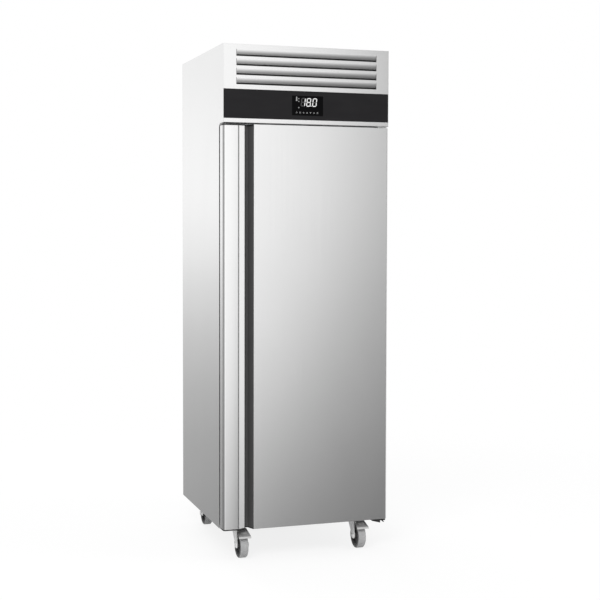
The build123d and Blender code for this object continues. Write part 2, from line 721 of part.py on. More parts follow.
def door_end_caps():
    """Plastic caps at the foot and the head of the handle side, open along the recess."""
    foot = extrude_z(cap_outline(), DOOR_BOTTOM, DOOR_BOTTOM + CAP_THICK)
    foot = fillet(foot.faces().sort_by(Axis.Z)[0].edges().sort_by(Axis.X)[:-1], CAP_ROUND)
    head = extrude_z(cap_outline(), DOOR_TOP - CAP_THICK, DOOR_TOP)
    head = fillet(head.faces().sort_by(Axis.Z)[-1].edges().sort_by(Axis.X)[:-1], CAP_ROUND)
    recess = extrude_z(recess_outline(), DOOR_BOTTOM - SHEET, DOOR_TOP + SHEET)
    return [foot - recess, head - recess]


def door_outer_panel():
    """Main steel skin, folded in at the handle recess and closed at the foot and the head."""
    half = SHEET / 2
    points = [
        at(WIDTH - DOOR_RETURN, SKIN_DEPTH - half),
        at(WIDTH - half, SKIN_DEPTH - half),
        at(WIDTH - half, half),
        at(PANEL_EDGE + half, half),
        at(PANEL_EDGE + half, PANEL_EDGE_DEPTH),
    ]
    section = bent_sheet(points, [BEND, DOOR_RIGHT_CORNER, BEND / 2], SHEET)
    skin = extrude_z(section, DOOR_BOTTOM, DOOR_TOP)
    corners = [at(PANEL_EDGE, 0), at(WIDTH, 0), at(WIDTH, SKIN_DEPTH), at(PANEL_EDGE, SKIN_DEPTH)]
    end = outline(corners, [BEND / 2 + half, DOOR_RIGHT_CORNER + half, BEND + half, 0])
    foot = extrude_z(end, DOOR_BOTTOM, DOOR_BOTTOM + SHEET)
    head = extrude_z(end, DOOR_TOP - SHEET, DOOR_TOP)
    bush = bar_z(PIVOT_X, PIVOT_Y, DOOR_BOTTOM - SHEET, DOOR_TOP + SHEET, BUSH_RADIUS + FIT / 2)
    return skin + foot + head - bush


def door_insulation():
    """Foam core of the door, cut away round the handle channel and the hinge bushes."""
    skin = SHEET + FIT
    rear = SKIN_DEPTH - skin
    inside = SHEET / 2 + FIT
    corners = [at(skin, skin), at(WIDTH - skin, skin), at(WIDTH - skin, rear), at(skin, rear)]
    core = outline(corners, [DOOR_LEFT_CORNER - inside, DOOR_RIGHT_CORNER - inside,
                             BEND - inside, BEND - inside])
    channel_left = CHANNEL_POCKET_LEFT - CHANNEL_THICK / 2 - FIT
    channel_back = CHANNEL_DEPTH + FIT
    slope_out = CHANNEL_THICK
    behind = SHEET + FIT
    join = (channel_left - HANDLE_BEND + behind * sin(RETURN_ANGLE)) / cos(RETURN_ANGLE)
    recess = Polyline(
        at(HANDLE_BEND - behind, 0),
        on_return(0, behind),
        on_return(join, behind),
        at(channel_left, channel_back),
        at(CHANNEL_FLOOR_RIGHT + slope_out, channel_back),
        at(PANEL_EDGE - slope_out, PANEL_EDGE_DEPTH + 2 * FIT),
        at(PANEL_EDGE + skin, PANEL_EDGE_DEPTH + 2 * FIT),
        at(PANEL_EDGE + skin, 0),
        close=True,
    )
    z0 = DOOR_BOTTOM + CAP_THICK + FIT
    z1 = DOOR_TOP - CAP_THICK - FIT
    foam = extrude_z(core, z0, z1) - extrude_z(make_face(recess), z0, z1)
    for low, high in ((z0, DOOR_BOTTOM + BUSH_LENGTH + FIT), (DOOR_TOP - BUSH_LENGTH - FIT, z1)):
        foam = foam - bar_z(PIVOT_X, PIVOT_Y, low, high, BUSH_RADIUS + FIT)
    return foam


def door_ring(inset, width, depth_from, depth_to):
    """Upright rectangular ring on the door's back, this far in from the door's outline."""
    outer = rounded_window(WIDTH / 2 - inset, DOOR_BOTTOM + inset, DOOR_TOP - inset, BEND)
    inner = rounded_window(WIDTH / 2 - inset - width, DOOR_BOTTOM + inset + width,
                           DOOR_TOP - inset - width, BEND)
    ring = extrude_y(outer, FRONT + depth_from, FRONT + depth_to)
    return ring - extrude_y(inner, FRONT + depth_from, FRONT + depth_to)


def door_inner_panel():
    """Pressed inner sheet with a raised field and the groove that holds the gasket."""
    sheet = extrude_y(rounded_window(WIDTH / 2 - DOOR_INNER_SHEET, DOOR_BOTTOM + DOOR_INNER_SHEET,
                                     DOOR_TOP - DOOR_INNER_SHEET, DOOR_INNER_SHEET),
                      FRONT + SKIN_DEPTH, FRONT + DOOR_THICKNESS)
    field = extrude_y(rounded_window(WIDTH / 2 - FIELD_INSET, DOOR_BOTTOM + FIELD_INSET,
                                     DOOR_TOP - FIELD_INSET, FIELD_CORNER),
                      FRONT + SKIN_DEPTH, FRONT + DOOR_THICKNESS + FIELD_RISE)
    field = chamfer(field.faces().sort_by(Axis.Y)[-1].edges(), FIELD_RISE / 2)
    inset = FIELD_INSET + DOOR_INNER_SHEET
    hollow = extrude_y(rounded_window(WIDTH / 2 - inset, DOOR_BOTTOM + inset, DOOR_TOP - inset,
                                      FIELD_CORNER - DOOR_INNER_SHEET),
                       FRONT + SKIN_DEPTH, FRONT + DOOR_THICKNESS + FIELD_RISE - DOOR_INNER_SHEET)
    hollow = chamfer(hollow.faces().sort_by(Axis.Y)[-1].edges(), FIELD_RISE / 2)
    dart_inset = GASKET_INSET + (GASKET_WIDTH - DART_WIDTH) / 2
    groove = door_ring(dart_inset - FIT, DART_WIDTH + 2 * FIT,
                       DOOR_THICKNESS - DART_DEPTH - FIT, DOOR_THICKNESS)
    return sheet + field - hollow - groove


def door_gasket():
    """Magnetic seal: dart in the groove, base, narrow bellows and the magnet box."""
    base_top = DOOR_THICKNESS + GASKET_BASE
    neck_top = base_top + GASKET_NECK_HEIGHT
    seal_top = DOOR_THICKNESS + GASKET_GAP - GASKET_CLEAR
    dart_inset = GASKET_INSET + (GASKET_WIDTH - DART_WIDTH) / 2
    dart = door_ring(dart_inset, DART_WIDTH, DOOR_THICKNESS - DART_DEPTH, DOOR_THICKNESS)
    base = door_ring(GASKET_INSET, GASKET_WIDTH, DOOR_THICKNESS, base_top)
    neck = door_ring(GASKET_INSET + 2 * MAGNET_INSET, GASKET_NECK, base_top, neck_top)
    magnet = door_ring(GASKET_INSET + MAGNET_INSET, MAGNET_WIDTH, neck_top, seal_top)
    return base + dart + neck + magnet


def door_hinge_bushes():
    """Nylon bushes in the foot and the head of the door."""
    low = bar_z(PIVOT_X, PIVOT_Y, DOOR_BOTTOM, DOOR_BOTTOM + BUSH_LENGTH, BUSH_RADIUS)
    high = bar_z(PIVOT_X, PIVOT_Y, DOOR_TOP - BUSH_LENGTH, DOOR_TOP, BUSH_RADIUS)
    bore = bar_z(PIVOT_X, PIVOT_Y, DOOR_BOTTOM, DOOR_TOP, HINGE_PIN_RADIUS + HINGE_RUN_FIT)
    return [low - bore, high - bore]


def upper_hinge_bracket():
    """Angle plate in the gap over the door, with the upper pivot pin."""
    x1 = PIVOT_X + HINGE_PLATE_SIDE
    x0 = x1 - HINGE_PLATE_WIDTH
    z0 = FASCIA_BOTTOM - UPPER_PLATE
    plate = block(x0, x1, PIVOT_Y - HINGE_PLATE_REACH, BODY_FRONT, z0, FASCIA_BOTTOM)
    plate = fillet(plate.edges().filter_by(Axis.Z).sort_by(Axis.Y)[:2], HINGE_PLATE_SIDE / 2)
    leg = block(x0, x1, BODY_FRONT - UPPER_PLATE, BODY_FRONT, z0, z0 + UPPER_LEG_HEIGHT)
    boss = bar_z(PIVOT_X, PIVOT_Y, DOOR_TOP + PANEL_FIT, z0, HINGE_BOSS_RADIUS)
    pin = bar_z(PIVOT_X, PIVOT_Y, DOOR_TOP - HINGE_PIN_LENGTH, z0, HINGE_PIN_RADIUS)
    return plate + leg + boss + pin


def lower_hinge_bracket():
    """Black plate under the cabinet with the lower pin, its adjuster and a stiffening wedge."""
    x1 = PIVOT_X + HINGE_PLATE_SIDE
    x0 = x1 - HINGE_PLATE_WIDTH
    wedge_right = PIVOT_X - WEDGE_GAP
    wedge_left = wedge_right - WEDGE_WIDTH
    y0 = PIVOT_Y - HINGE_PLATE_REACH
    z0 = BOTTOM - LOWER_PLATE
    plate = block(x0, x1, y0, BODY_FRONT + LOWER_PLATE_TAIL, z0, BOTTOM)
    wing = block(wedge_left, x0, y0, y0 + WEDGE_DEPTH, z0, BOTTOM)
    boss = bar_z(PIVOT_X, PIVOT_Y, BOTTOM, DOOR_BOTTOM, HINGE_BOSS_RADIUS)
    pin = bar_z(PIVOT_X, PIVOT_Y, BOTTOM, DOOR_BOTTOM + HINGE_PIN_LENGTH, HINGE_PIN_RADIUS)
    wedge_section = Polyline((wedge_left, z0), (wedge_right, z0),
                             (wedge_right, z0 - WEDGE_DROP), close=True)
    wedge = extrude_y(make_face(wedge_section), y0, y0 + WEDGE_DEPTH)
    lever_section = Polyline(
        (PIVOT_X - UPPER_PLATE, z0),
        (PIVOT_X + UPPER_PLATE, z0),
        (PIVOT_X + HINGE_PLATE_SIDE, z0 - WEDGE_DROP),
        (PIVOT_X + HINGE_PLATE_SIDE - 2 * UPPER_PLATE, z0 - WEDGE_DROP),
        close=True,
    )
    lever = extrude_y(make_face(lever_section), PIVOT_Y - HINGE_PIN_RADIUS, PIVOT_Y + HINGE_PIN_RADIUS)
    return plate + wing + boss + pin + wedge + lever


# Shelves and what carries them

def upright_centres():
    """Y of the front and the rear uprights."""
    return (LINER_FRONT + UPRIGHT_INSET, INNER_BACK - UPRIGHT_INSET)


def shelf_uprights():
    """Slotted channels on the liner's walls, two on each side."""
    z0 = INNER_FLOOR + UPRIGHT_BOTTOM_GAP
    z1 = INNER_CEILING - UPRIGHT_TOP_GAP
    face_x = INNER_HALF - UPRIGHT_DEPTH
    slots = []
    z = z0 + SLOT_FIRST
    while z + SLOT_HEIGHT < z1:
        slant = Polyline(
            (-SLOT_WIDTH / 2, z),
            (SLOT_WIDTH / 2, z + SLOT_SLANT),
            (SLOT_WIDTH / 2, z + SLOT_HEIGHT),
            (-SLOT_WIDTH / 2, z + SLOT_HEIGHT - SLOT_SLANT),
            close=True,
        )
        slots.append(extrude_x(make_face(slant), face_x - UPRIGHT_SHEET, face_x + 2 * UPRIGHT_SHEET))
        z += SLOT_PITCH
    half = UPRIGHT_WIDTH / 2
    channel = block(face_x, INNER_HALF, -half, half, z0, z1)
    hollow = block(face_x + UPRIGHT_SHEET, INNER_HALF, -half + UPRIGHT_SHEET, half - UPRIGHT_SHEET, z0, z1)
    upright = channel - hollow - slots
    pieces = []
    for y in upright_centres():
        pieces += both_sides(Pos(0, y, 0) * upright)
    return pieces


def slot_at_or_below(level):
    """Foot of the highest upright slot that lies wholly under this level."""
    z0 = INNER_FLOOR + UPRIGHT_BOTTOM_GAP + SLOT_FIRST
    steps = int((level - SLOT_HEIGHT - z0) / SLOT_PITCH)
    return z0 + steps * SLOT_PITCH


def shelf_rest(level):
    """Height of the runner's ledge for the shelf asked for at this level."""
    return slot_at_or_below(level) + SLOT_HEIGHT / 2 - RUNNER_HOOK_HEIGHT / 2


def shelf_runners(level):
    """Bent runners for one shelf, hooked into the slots of the uprights."""
    rest = shelf_rest(level)
    wall = INNER_HALF - UPRIGHT_DEPTH
    half = RUNNER_SHEET / 2
    lip_x = wall - RUNNER_LEDGE
    points = [
        (wall - half, rest + RUNNER_WEB),
        (wall - half, rest - half),
        (lip_x + half, rest - half),
        (lip_x + half, rest - RUNNER_LIP),
    ]
    section = bent_sheet(points, half, RUNNER_SHEET)
    runner = extrude_y(section, LINER_FRONT + RUNNER_END_GAP, INNER_BACK - SHELF_BACK_GAP)
    for y in upright_centres():
        hook = block(wall - half, wall + 3 * UPRIGHT_SHEET, y - RUNNER_SHEET, y + RUNNER_SHEET,
                     rest + PANEL_FIT, rest + RUNNER_HOOK_HEIGHT)
        runner = runner + hook
    return both_sides(runner)


def wire_shelf(level):
    """Coated wire shelf: a heavy frame rod, two cross bars and thin wires front to back."""
    rod = SHELF_ROD / 2
    z = shelf_rest(level) + rod + PANEL_FIT
    y1 = INNER_BACK - SHELF_BACK_GAP
    y0 = LINER_FRONT + SHELF_FRONT_GAP
    half = INNER_HALF - UPRIGHT_DEPTH - SHELF_SIDE_GAP - rod
    corners = [(-half, y0 + rod), (half, y0 + rod), (half, y1 - rod), (-half, y1 - rod)]
    path = Pos(0, 0, z) * FilletPolyline(*corners, radius=SHELF_CORNER, close=True)
    start = path.edges()[0]
    frame = sweep(Plane(origin=start @ 0, z_dir=start % 0) * Circle(rod), path=path)
    pieces = []
    pitch = 2 * half / (SHELF_WIRE_COUNT + 1)
    wire_z = z + rod - SHELF_WIRE / 2
    for number in range(SHELF_WIRE_COUNT):
        x = -half + pitch * (number + 1)
        section = Pos(x, wire_z) * RegularPolygon(SHELF_WIRE / 2, 6)
        pieces.append(extrude_y(section, y0 + rod, y1 - rod))
    bar_z_level = wire_z - SHELF_WIRE / 2 - SHELF_BAR / 2
    for y in (y0 + SHELF_BAR_INSET, y1 - SHELF_BAR_INSET):
        pieces.append(bar_x(-half, half, y, bar_z_level, SHELF_BAR / 2))
    return frame.fuse(*pieces)


# Fans

def fan_blades(radius):
    """Five twisted blades round a hub, facing +Z, with the shaft stub behind it."""
    hub = Cylinder(FAN_HUB, FAN_HUB_LENGTH)
    hub = chamfer(hub.edges().sort_by(Axis.Z)[-1:], FAN_HUB / 8)
    blades = []
    for number in range(FAN_BLADES):
        sections = []
        for reach, chord, pitch in ((FAN_HUB - FAN_BLADE_THICK, FAN_ROOT_CHORD, FAN_ROOT_PITCH),
                                    (radius + FAN_BLADE_THICK, FAN_TIP_CHORD, FAN_TIP_PITCH)):
            plane = Plane(origin=(reach, 0, 0), x_dir=(0, 1, 0), z_dir=(1, 0, 0))
            sections.append(plane * Rot(0, 0, pitch) * Rectangle(chord, FAN_BLADE_THICK))
        blade = loft(sections, ruled=True) & Cylinder(radius, 2 * FAN_TIP_CHORD)
        blades.append(Rot(0, 0, number * 360 / FAN_BLADES) * blade)
    return hub + blades


def evaporator_fan_motor():
    """Motor hung from the ceiling by its mounting plate, with the bearing bore for the shaft."""
    z0 = INNER_CEILING - EVAP_MOTOR_LENGTH
    can = bar_z(0, DUCT_FAN_Y, z0, INNER_CEILING - MOTOR_ARM_THICK, EVAP_MOTOR_RADIUS)
    can = chamfer(can.edges().sort_by(Axis.Z)[:1], EVAP_MOTOR_RADIUS / 8)
    reach = EVAP_FAN_OPENING
    plate = block(-reach, reach, DUCT_FAN_Y - MOTOR_ARM, DUCT_FAN_Y + MOTOR_ARM,
                  INNER_CEILING - MOTOR_ARM_THICK, INNER_CEILING)
    bore = bar_z(0, DUCT_FAN_Y, z0, z0 + FAN_SHAFT_REACH, FAN_SHAFT + AXLE_FIT)
    return can + plate - bore


def evaporator_fan_blade():
    """Fan that draws air up through the guard, on its shaft in the motor's bearing."""
    motor_face = INNER_CEILING - EVAP_MOTOR_LENGTH
    middle = motor_face - RACE_GAP - FAN_HALF_DEPTH
    fan = Pos(0, DUCT_FAN_Y, middle) * Rot(180, 0, 0) * fan_blades(EVAP_FAN_RADIUS)
    shaft = bar_z(0, DUCT_FAN_Y, middle, motor_face + FAN_SHAFT_REACH - RACE_GAP, FAN_SHAFT)
    return fan + shaft


def condenser_fan_motor():
    """Motor on two arms that bridge the shroud."""
    y0 = SHROUD_BACK + MOTOR_ARM_THICK
    can = bar_y(CONDENSER_X, y0, y0 + COND_MOTOR_LENGTH, FAN_CENTRE_Z, COND_MOTOR_RADIUS)
    can = chamfer(can.edges().sort_by(Axis.Y)[-1:], COND_MOTOR_RADIUS / 8)
    reach = CONDENSER_HEIGHT / 2
    arms = []
    for x in (CONDENSER_X - MOTOR_ARM, CONDENSER_X + MOTOR_ARM):
        arms.append(block(x - MOTOR_ARM / 2, x + MOTOR_ARM / 2, SHROUD_BACK, y0,
                          FAN_CENTRE_Z - reach, FAN_CENTRE_Z + reach))
    bore = bar_y(CONDENSER_X, SHROUD_BACK, y0 + FAN_SHAFT_REACH, FAN_CENTRE_Z, FAN_SHAFT + AXLE_FIT)
    return can + arms - bore


def condenser_fan_blade():
    """Fan that draws air through the condenser, on its shaft in the motor's bearing."""
    middle = SHROUD_BACK - RACE_GAP - FAN_HALF_DEPTH
    turned = Rot(90, 0, 0) * fan_blades(COND_FAN_RADIUS)
    fan = Pos(CONDENSER_X, middle, FAN_CENTRE_Z) * turned
    shaft_end = SHROUD_BACK + MOTOR_ARM_THICK + FAN_SHAFT_REACH - RACE_GAP
    shaft = bar_y(CONDENSER_X, middle, shaft_end, FAN_CENTRE_Z, FAN_SHAFT)
    return fan + shaft


# Cooling circuit inside the compartment

def evaporator_cover():
    """Bent air duct under the ceiling with the fan guard cut in its floor."""
    half = DUCT_HALF
    y1 = INNER_BACK - DUCT_REAR_GAP
    middle = DUCT_SHEET / 2
    floor_front = DUCT_FRONT + DUCT_FRONT_RUN
    points = [
        (DUCT_FRONT + middle, INNER_CEILING),
        (DUCT_FRONT + middle, INNER_CEILING - DUCT_FRONT_DROP),
        (floor_front, DUCT_BOTTOM + middle),
        (y1, DUCT_BOTTOM + middle),
    ]
    skin = extrude_x(bent_sheet(points, 2 * BEND, DUCT_SHEET), -half, half)
    cheek_points = [
        (DUCT_FRONT, INNER_CEILING),
        (DUCT_FRONT, INNER_CEILING - DUCT_FRONT_DROP),
        (floor_front, DUCT_BOTTOM),
        (y1, DUCT_BOTTOM),
        (y1, INNER_CEILING),
    ]
    cheek = extrude_x(outline(cheek_points, [0, BEND, BEND, 0, 0]), half - DUCT_SHEET, half)
    opening = bar_z(0, DUCT_FAN_Y, DUCT_BOTTOM - DUCT_SHEET, DUCT_BOTTOM + 2 * DUCT_SHEET,
                    EVAP_FAN_OPENING)
    z0 = DUCT_BOTTOM
    z1 = DUCT_BOTTOM + DUCT_SHEET
    guard = []
    for radius in GUARD_RINGS:
        ring = bar_z(0, DUCT_FAN_Y, z0, z1, radius)
        guard.append(ring - bar_z(0, DUCT_FAN_Y, z0, z1, radius - GUARD_RING_WIDTH))
    for number in range(GUARD_SPOKES // 2):
        spoke = Box(2 * EVAP_FAN_OPENING + GUARD_SPOKE, GUARD_SPOKE, DUCT_SHEET)
        turned = Rot(0, 0, number * 360 / GUARD_SPOKES) * spoke
        guard.append(Pos(0, DUCT_FAN_Y, (z0 + z1) / 2) * turned)
    return skin + both_sides(cheek) - opening + guard


def coil(x_centre, width, y0, y1, z0, z1, tube_y):
    """Finned block between end plates, with the tube bends that stand out at both ends."""
    x0 = x_centre - width / 2
    x1 = x_centre + width / 2
    body = block(x0, x1, y0, y1, z0 + END_PLATE, z1 - END_PLATE)
    pitch = width / CONDENSER_FINS
    grooves = []
    for number in range(CONDENSER_FINS):
        x = x0 + pitch * (number + 0.5)
        grooves.append(block(x - FIN_GROOVE / 2, x + FIN_GROOVE / 2, y0, y0 + FIN_GROOVE_DEPTH, z0, z1))
    body = body - grooves
    for x in (x0 - END_PLATE, x1):
        body = body + block(x, x + END_PLATE, y0, y1, z0, z1)
    rows = tube_rows(z0, z1)
    gap = rows[1] - rows[0]
    for number in range(COIL_ROWS - 1):
        end = x1 + END_PLATE if number % 2 == 0 else x0 - END_PLATE
        out = 1 if number % 2 == 0 else -1
        ring = Rot(90, 0, 0) * Torus(gap / 2, COIL_TUBE)
        bend = Pos(end, tube_y, (rows[number] + rows[number + 1]) / 2) * ring
        keep = block(min(end, end + out * gap), max(end, end + out * gap), y0, y1, z0, z1)
        body = body + (bend & keep)
    return body


def tube_rows(z0, z1):
    """Heights of the tube passes in a coil."""
    pitch = (z1 - z0) / COIL_ROWS
    return [z0 + pitch * (number + 0.5) for number in range(COIL_ROWS)]


def evaporator_coil():
    """Evaporator hung between the ceiling and its drip tray."""
    return coil(0, EVAP_COIL_WIDTH, EVAP_COIL_Y - EVAP_COIL_DEPTH / 2, EVAP_COIL_Y + EVAP_COIL_DEPTH / 2,
                INNER_CEILING - EVAP_COIL_HEIGHT, INNER_CEILING, EVAP_COIL_Y)


def evaporator_drip_tray():
    """Tray on the duct's floor that catches the defrost water, with its spout."""
    half = EVAP_COIL_WIDTH / 2 + TRAY_MARGIN
    y0 = EVAP_COIL_Y - EVAP_COIL_DEPTH / 2 - TRAY_MARGIN
    y1 = INNER_BACK - DUCT_REAR_GAP
    z0 = DUCT_BOTTOM + DUCT_SHEET
    tray = block(-half, half, y0, y1, z0, z0 + 2 * DRAIN_RADIUS)
    hollow = block(-half + TRAY_SHEET, half - TRAY_SHEET, y0 + TRAY_SHEET, y1 - TRAY_SHEET,
                   z0 + TRAY_SHEET, z0 + 2 * DRAIN_RADIUS)
    spout = bar_y(DRAIN_X, y1 - TRAY_SHEET, INNER_BACK - 2 * LINER_SHEET, DRAIN_Z, DRAIN_BORE)
    water = bar_y(DRAIN_X, y1 - 2 * TRAY_SHEET, INNER_BACK, DRAIN_Z, DRAIN_BORE - TRAY_SHEET)
    return tray - hollow + spout - water


def drain_route(radius, y_start):
    """Round bar along the drain's way: back into the wall and down through the base."""
    low = BOTTOM - SHEET
    path = FilletPolyline((DRAIN_X, y_start, DRAIN_Z), (DRAIN_X, DRAIN_Y, DRAIN_Z),
                          (DRAIN_X, DRAIN_Y, low), radius=DRAIN_BEND)
    start = Plane(origin=(DRAIN_X, y_start, DRAIN_Z), z_dir=(0, 1, 0))
    return sweep(start * Circle(radius), path=path)


def drain_pipe():
    """Plastic drain pipe in the back wall's foam, from the drip tray to the pan."""
    y_start = INNER_BACK - LINER_SHEET
    return drain_route(DRAIN_RADIUS, y_start) - drain_route(DRAIN_BORE, y_start)


def condensate_pan():
    """Open pan under the base where the defrost water evaporates, on two side flanges."""
    half = PAN_WIDTH / 2
    y1 = BACK - PAN_BACK_GAP
    y0 = y1 - PAN_DEPTH
    z1 = BOTTOM - PAN_AIR_GAP
    z0 = z1 - PAN_HEIGHT
    pan = block(-half, half, y0, y1, z0, z1)
    pan = chamfer(pan.faces().sort_by(Axis.Z)[0].edges(), PAN_HEIGHT / 6)
    hollow = block(-half + PAN_SHEET, half - PAN_SHEET, y0 + PAN_SHEET, y1 - PAN_SHEET, z0 + PAN_SHEET, z1)
    hollow = chamfer(hollow.faces().sort_by(Axis.Z)[0].edges(), PAN_HEIGHT / 6)
    pan = pan - hollow
    for side in (-1, 1):
        x0 = min(side * half, side * (half - PAN_SHEET))
        hanger = block(x0, x0 + PAN_SHEET, y0, y1, z1, BOTTOM)
        pan = pan + hanger
    return pan


# Cooling circuit in the machine compartment

def condenser_coil():
    """Finned condenser behind the louvres, standing on the deck."""
    return coil(CONDENSER_X, CONDENSER_WIDTH, CONDENSER_FRONT, CONDENSER_BACK,
                DECK_TOP, DECK_TOP + CONDENSER_HEIGHT, CONDENSER_FRONT + CONDENSER_DEPTH / 2)


def condenser_shroud():
    """Sheet box behind the condenser with the round opening of the fan."""
    x0 = CONDENSER_X - CONDENSER_WIDTH / 2
    x1 = CONDENSER_X + CONDENSER_WIDTH / 2
    z1 = DECK_TOP + CONDENSER_HEIGHT
    box = block(x0, x1, CONDENSER_BACK, SHROUD_BACK, DECK_TOP, z1)
    hollow = block(x0 + SHROUD_WALL, x1 - SHROUD_WALL, CONDENSER_BACK, SHROUD_BACK - SHROUD_WALL,
                   DECK_TOP + SHROUD_WALL, z1 - SHROUD_WALL)
    opening = bar_y(CONDENSER_X, CONDENSER_BACK, SHROUD_BACK + SHEET, FAN_CENTRE_Z, COND_FAN_OPENING)
    return box - hollow - opening


def compressor():
    """Hermetic compressor: domed pot with its weld seam, base plate and pipe stubs."""
    z0 = FOOT_HEIGHT
    z1 = z0 + COMPRESSOR_HEIGHT
    radius = COMPRESSOR_RADIUS
    seam_z = z0 + COMPRESSOR_SEAM_RISE
    upper = radius - COMPRESSOR_LAP
    lower = upper + COMPRESSOR_LAP / 2
    profile = FilletPolyline(
        (0, z0),
        (lower, z0),
        (lower, seam_z - COMPRESSOR_SEAM),
        (radius, seam_z - COMPRESSOR_SEAM),
        (radius, seam_z + COMPRESSOR_SEAM),
        (upper, seam_z + COMPRESSOR_SEAM),
        (upper, z1),
        (0, z1),
        radius=[COMPRESSOR_BOWL, 0, 0, 0, 0, COMPRESSOR_DOME],
    )
    closing = Line((0, z1), (0, z0))
    pot = revolve(Plane.XZ * make_face(profile.edges() + closing.edges()), Axis.Z)
    half_x = COMPRESSOR_BASE_WIDTH / 2
    half_y = COMPRESSOR_BASE_DEPTH / 2
    base = block(-half_x, half_x, -half_y, half_y, z0, z0 + COMPRESSOR_BASE)
    base = fillet(base.edges().filter_by(Axis.Z), FOOT_RADIUS)
    terminal = block(upper - COMPRESSOR_LAP, radius + TERMINAL_REACH, -TERMINAL_WIDTH / 2,
                     TERMINAL_WIDTH / 2, seam_z - COMPRESSOR_SEAM - TERMINAL_HEIGHT,
                     seam_z - COMPRESSOR_SEAM)
    holes = []
    for x, y in foot_places():
        holes.append(bar_z(x, y, z0 - SHEET, z0 + 2 * COMPRESSOR_BASE, FOOT_STUD + FIT))
    body = pot + base + terminal - holes
    for stub in compressor_stubs():
        body = body + stub
    return Pos(COMPRESSOR_X, COMPRESSOR_Y, DECK_TOP) * body


def foot_places():
    """Plan places of the four rubber feet about the compressor's axis."""
    x = COMPRESSOR_BASE_WIDTH / 2 - FOOT_RADIUS
    y = COMPRESSOR_BASE_DEPTH / 2 - FOOT_RADIUS
    return [(-x, -y), (x, -y), (-x, y), (x, y)]


def stub_height():
    """Height of the pipe stubs over the deck."""
    return FOOT_HEIGHT + STUB_RISE


def compressor_stubs():
    """Suction and discharge stubs on the left of the pot."""
    reach = COMPRESSOR_RADIUS + STUB_REACH
    stubs = []
    for y in (-COMPRESSOR_RADIUS / 3, COMPRESSOR_RADIUS / 3):
        stubs.append(bar_x(-reach, -COMPRESSOR_RADIUS / 2, y, stub_height(), STUB_RADIUS))
    return stubs


def compressor_feet():
    """Rubber feet with their studs through the base plate."""
    feet = []
    for x, y in foot_places():
        foot = bar_z(x, y, 0, FOOT_HEIGHT, FOOT_RADIUS)
        foot = chamfer(foot.edges(), SHEET)
        stud = bar_z(x, y, FOOT_HEIGHT, FOOT_HEIGHT + 3 * COMPRESSOR_BASE, FOOT_STUD)
        feet.append(Pos(COMPRESSOR_X, COMPRESSOR_Y, DECK_TOP) * (foot + stud))
    return feet


def pipe(points, radius):
    """Copper pipe of one radius with even bends."""
    path = FilletPolyline(*points, radius=PIPE_BEND)
    start = Vector(*points[0])
    heading = Vector(*points[1]) - start
    return sweep(Plane(origin=start, z_dir=heading) * Circle(radius), path=path)


def suction_path(radius):
    """Suction pipe from the evaporator's top up through the roof and over to the compressor."""
    x = COMPRESSOR_X - COMPRESSOR_RADIUS - STUB_REACH
    y = COMPRESSOR_Y + COMPRESSOR_RADIUS / 3
    z = DECK_TOP + stub_height()
    rise_x = x - 3 * PIPE_BEND
    points = [(rise_x, y, INNER_CEILING - LINER_SHEET), (rise_x, y, z), (x, y, z)]
    return pipe(points, radius)


def liquid_path(radius):
    """Liquid pipe from the drier down through the roof to the evaporator."""
    x = -EVAP_COIL_WIDTH / 4
    y = EVAP_COIL_Y
    z = DECK_TOP + DRIER_RADIUS
    points = [(x, y, INNER_CEILING - LINER_SHEET), (x, y, z),
              (x, y - 4 * PIPE_BEND, z)]
    return pipe(points, radius)


def drier_end():
    """Rear end of the drier, where the liquid pipe starts."""
    return EVAP_COIL_Y - 4 * PIPE_BEND


def filter_drier():
    """Drier capsule lying on the deck between the condenser and the evaporator."""
    x = -EVAP_COIL_WIDTH / 4
    y1 = drier_end()
    z = DECK_TOP + DRIER_RADIUS
    capsule = bar_y(x, y1 - DRIER_LENGTH, y1, z, DRIER_RADIUS)
    return chamfer(capsule.edges(), DRIER_RADIUS / 2)


def refrigerant_pipes():
    """Copper pipes of the circuit outside the coils."""
    stub_x = COMPRESSOR_X - COMPRESSOR_RADIUS - STUB_REACH
    stub_z = DECK_TOP + stub_height()
    discharge_y = COMPRESSOR_Y - COMPRESSOR_RADIUS / 3
    coil_x = CONDENSER_X - CONDENSER_WIDTH / 2 - END_PLATE
    coil_y = CONDENSER_FRONT + CONDENSER_DEPTH / 2
    rows = tube_rows(DECK_TOP, DECK_TOP + CONDENSER_HEIGHT)
    side_x = coil_x - 2 * PIPE_BEND
    discharge = pipe([(stub_x, discharge_y, stub_z), (side_x, discharge_y, stub_z),
                      (side_x, coil_y, stub_z), (side_x, coil_y, rows[-1]),
                      (coil_x, coil_y, rows[-1])], THIN_PIPE_RADIUS)
    drier_x = -EVAP_COIL_WIDTH / 4
    drier_y = drier_end() - DRIER_LENGTH
    drier_z = DECK_TOP + DRIER_RADIUS
    liquid = pipe([(coil_x, coil_y, rows[0]), (side_x, coil_y, rows[0]),
                   (side_x, drier_y - 3 * PIPE_BEND, rows[0]), (drier_x, drier_y - 3 * PIPE_BEND, drier_z),
                   (drier_x, drier_y, drier_z)], THIN_PIPE_RADIUS)
    return [discharge, liquid, suction_path(PIPE_RADIUS), liquid_path(THIN_PIPE_RADIUS)]


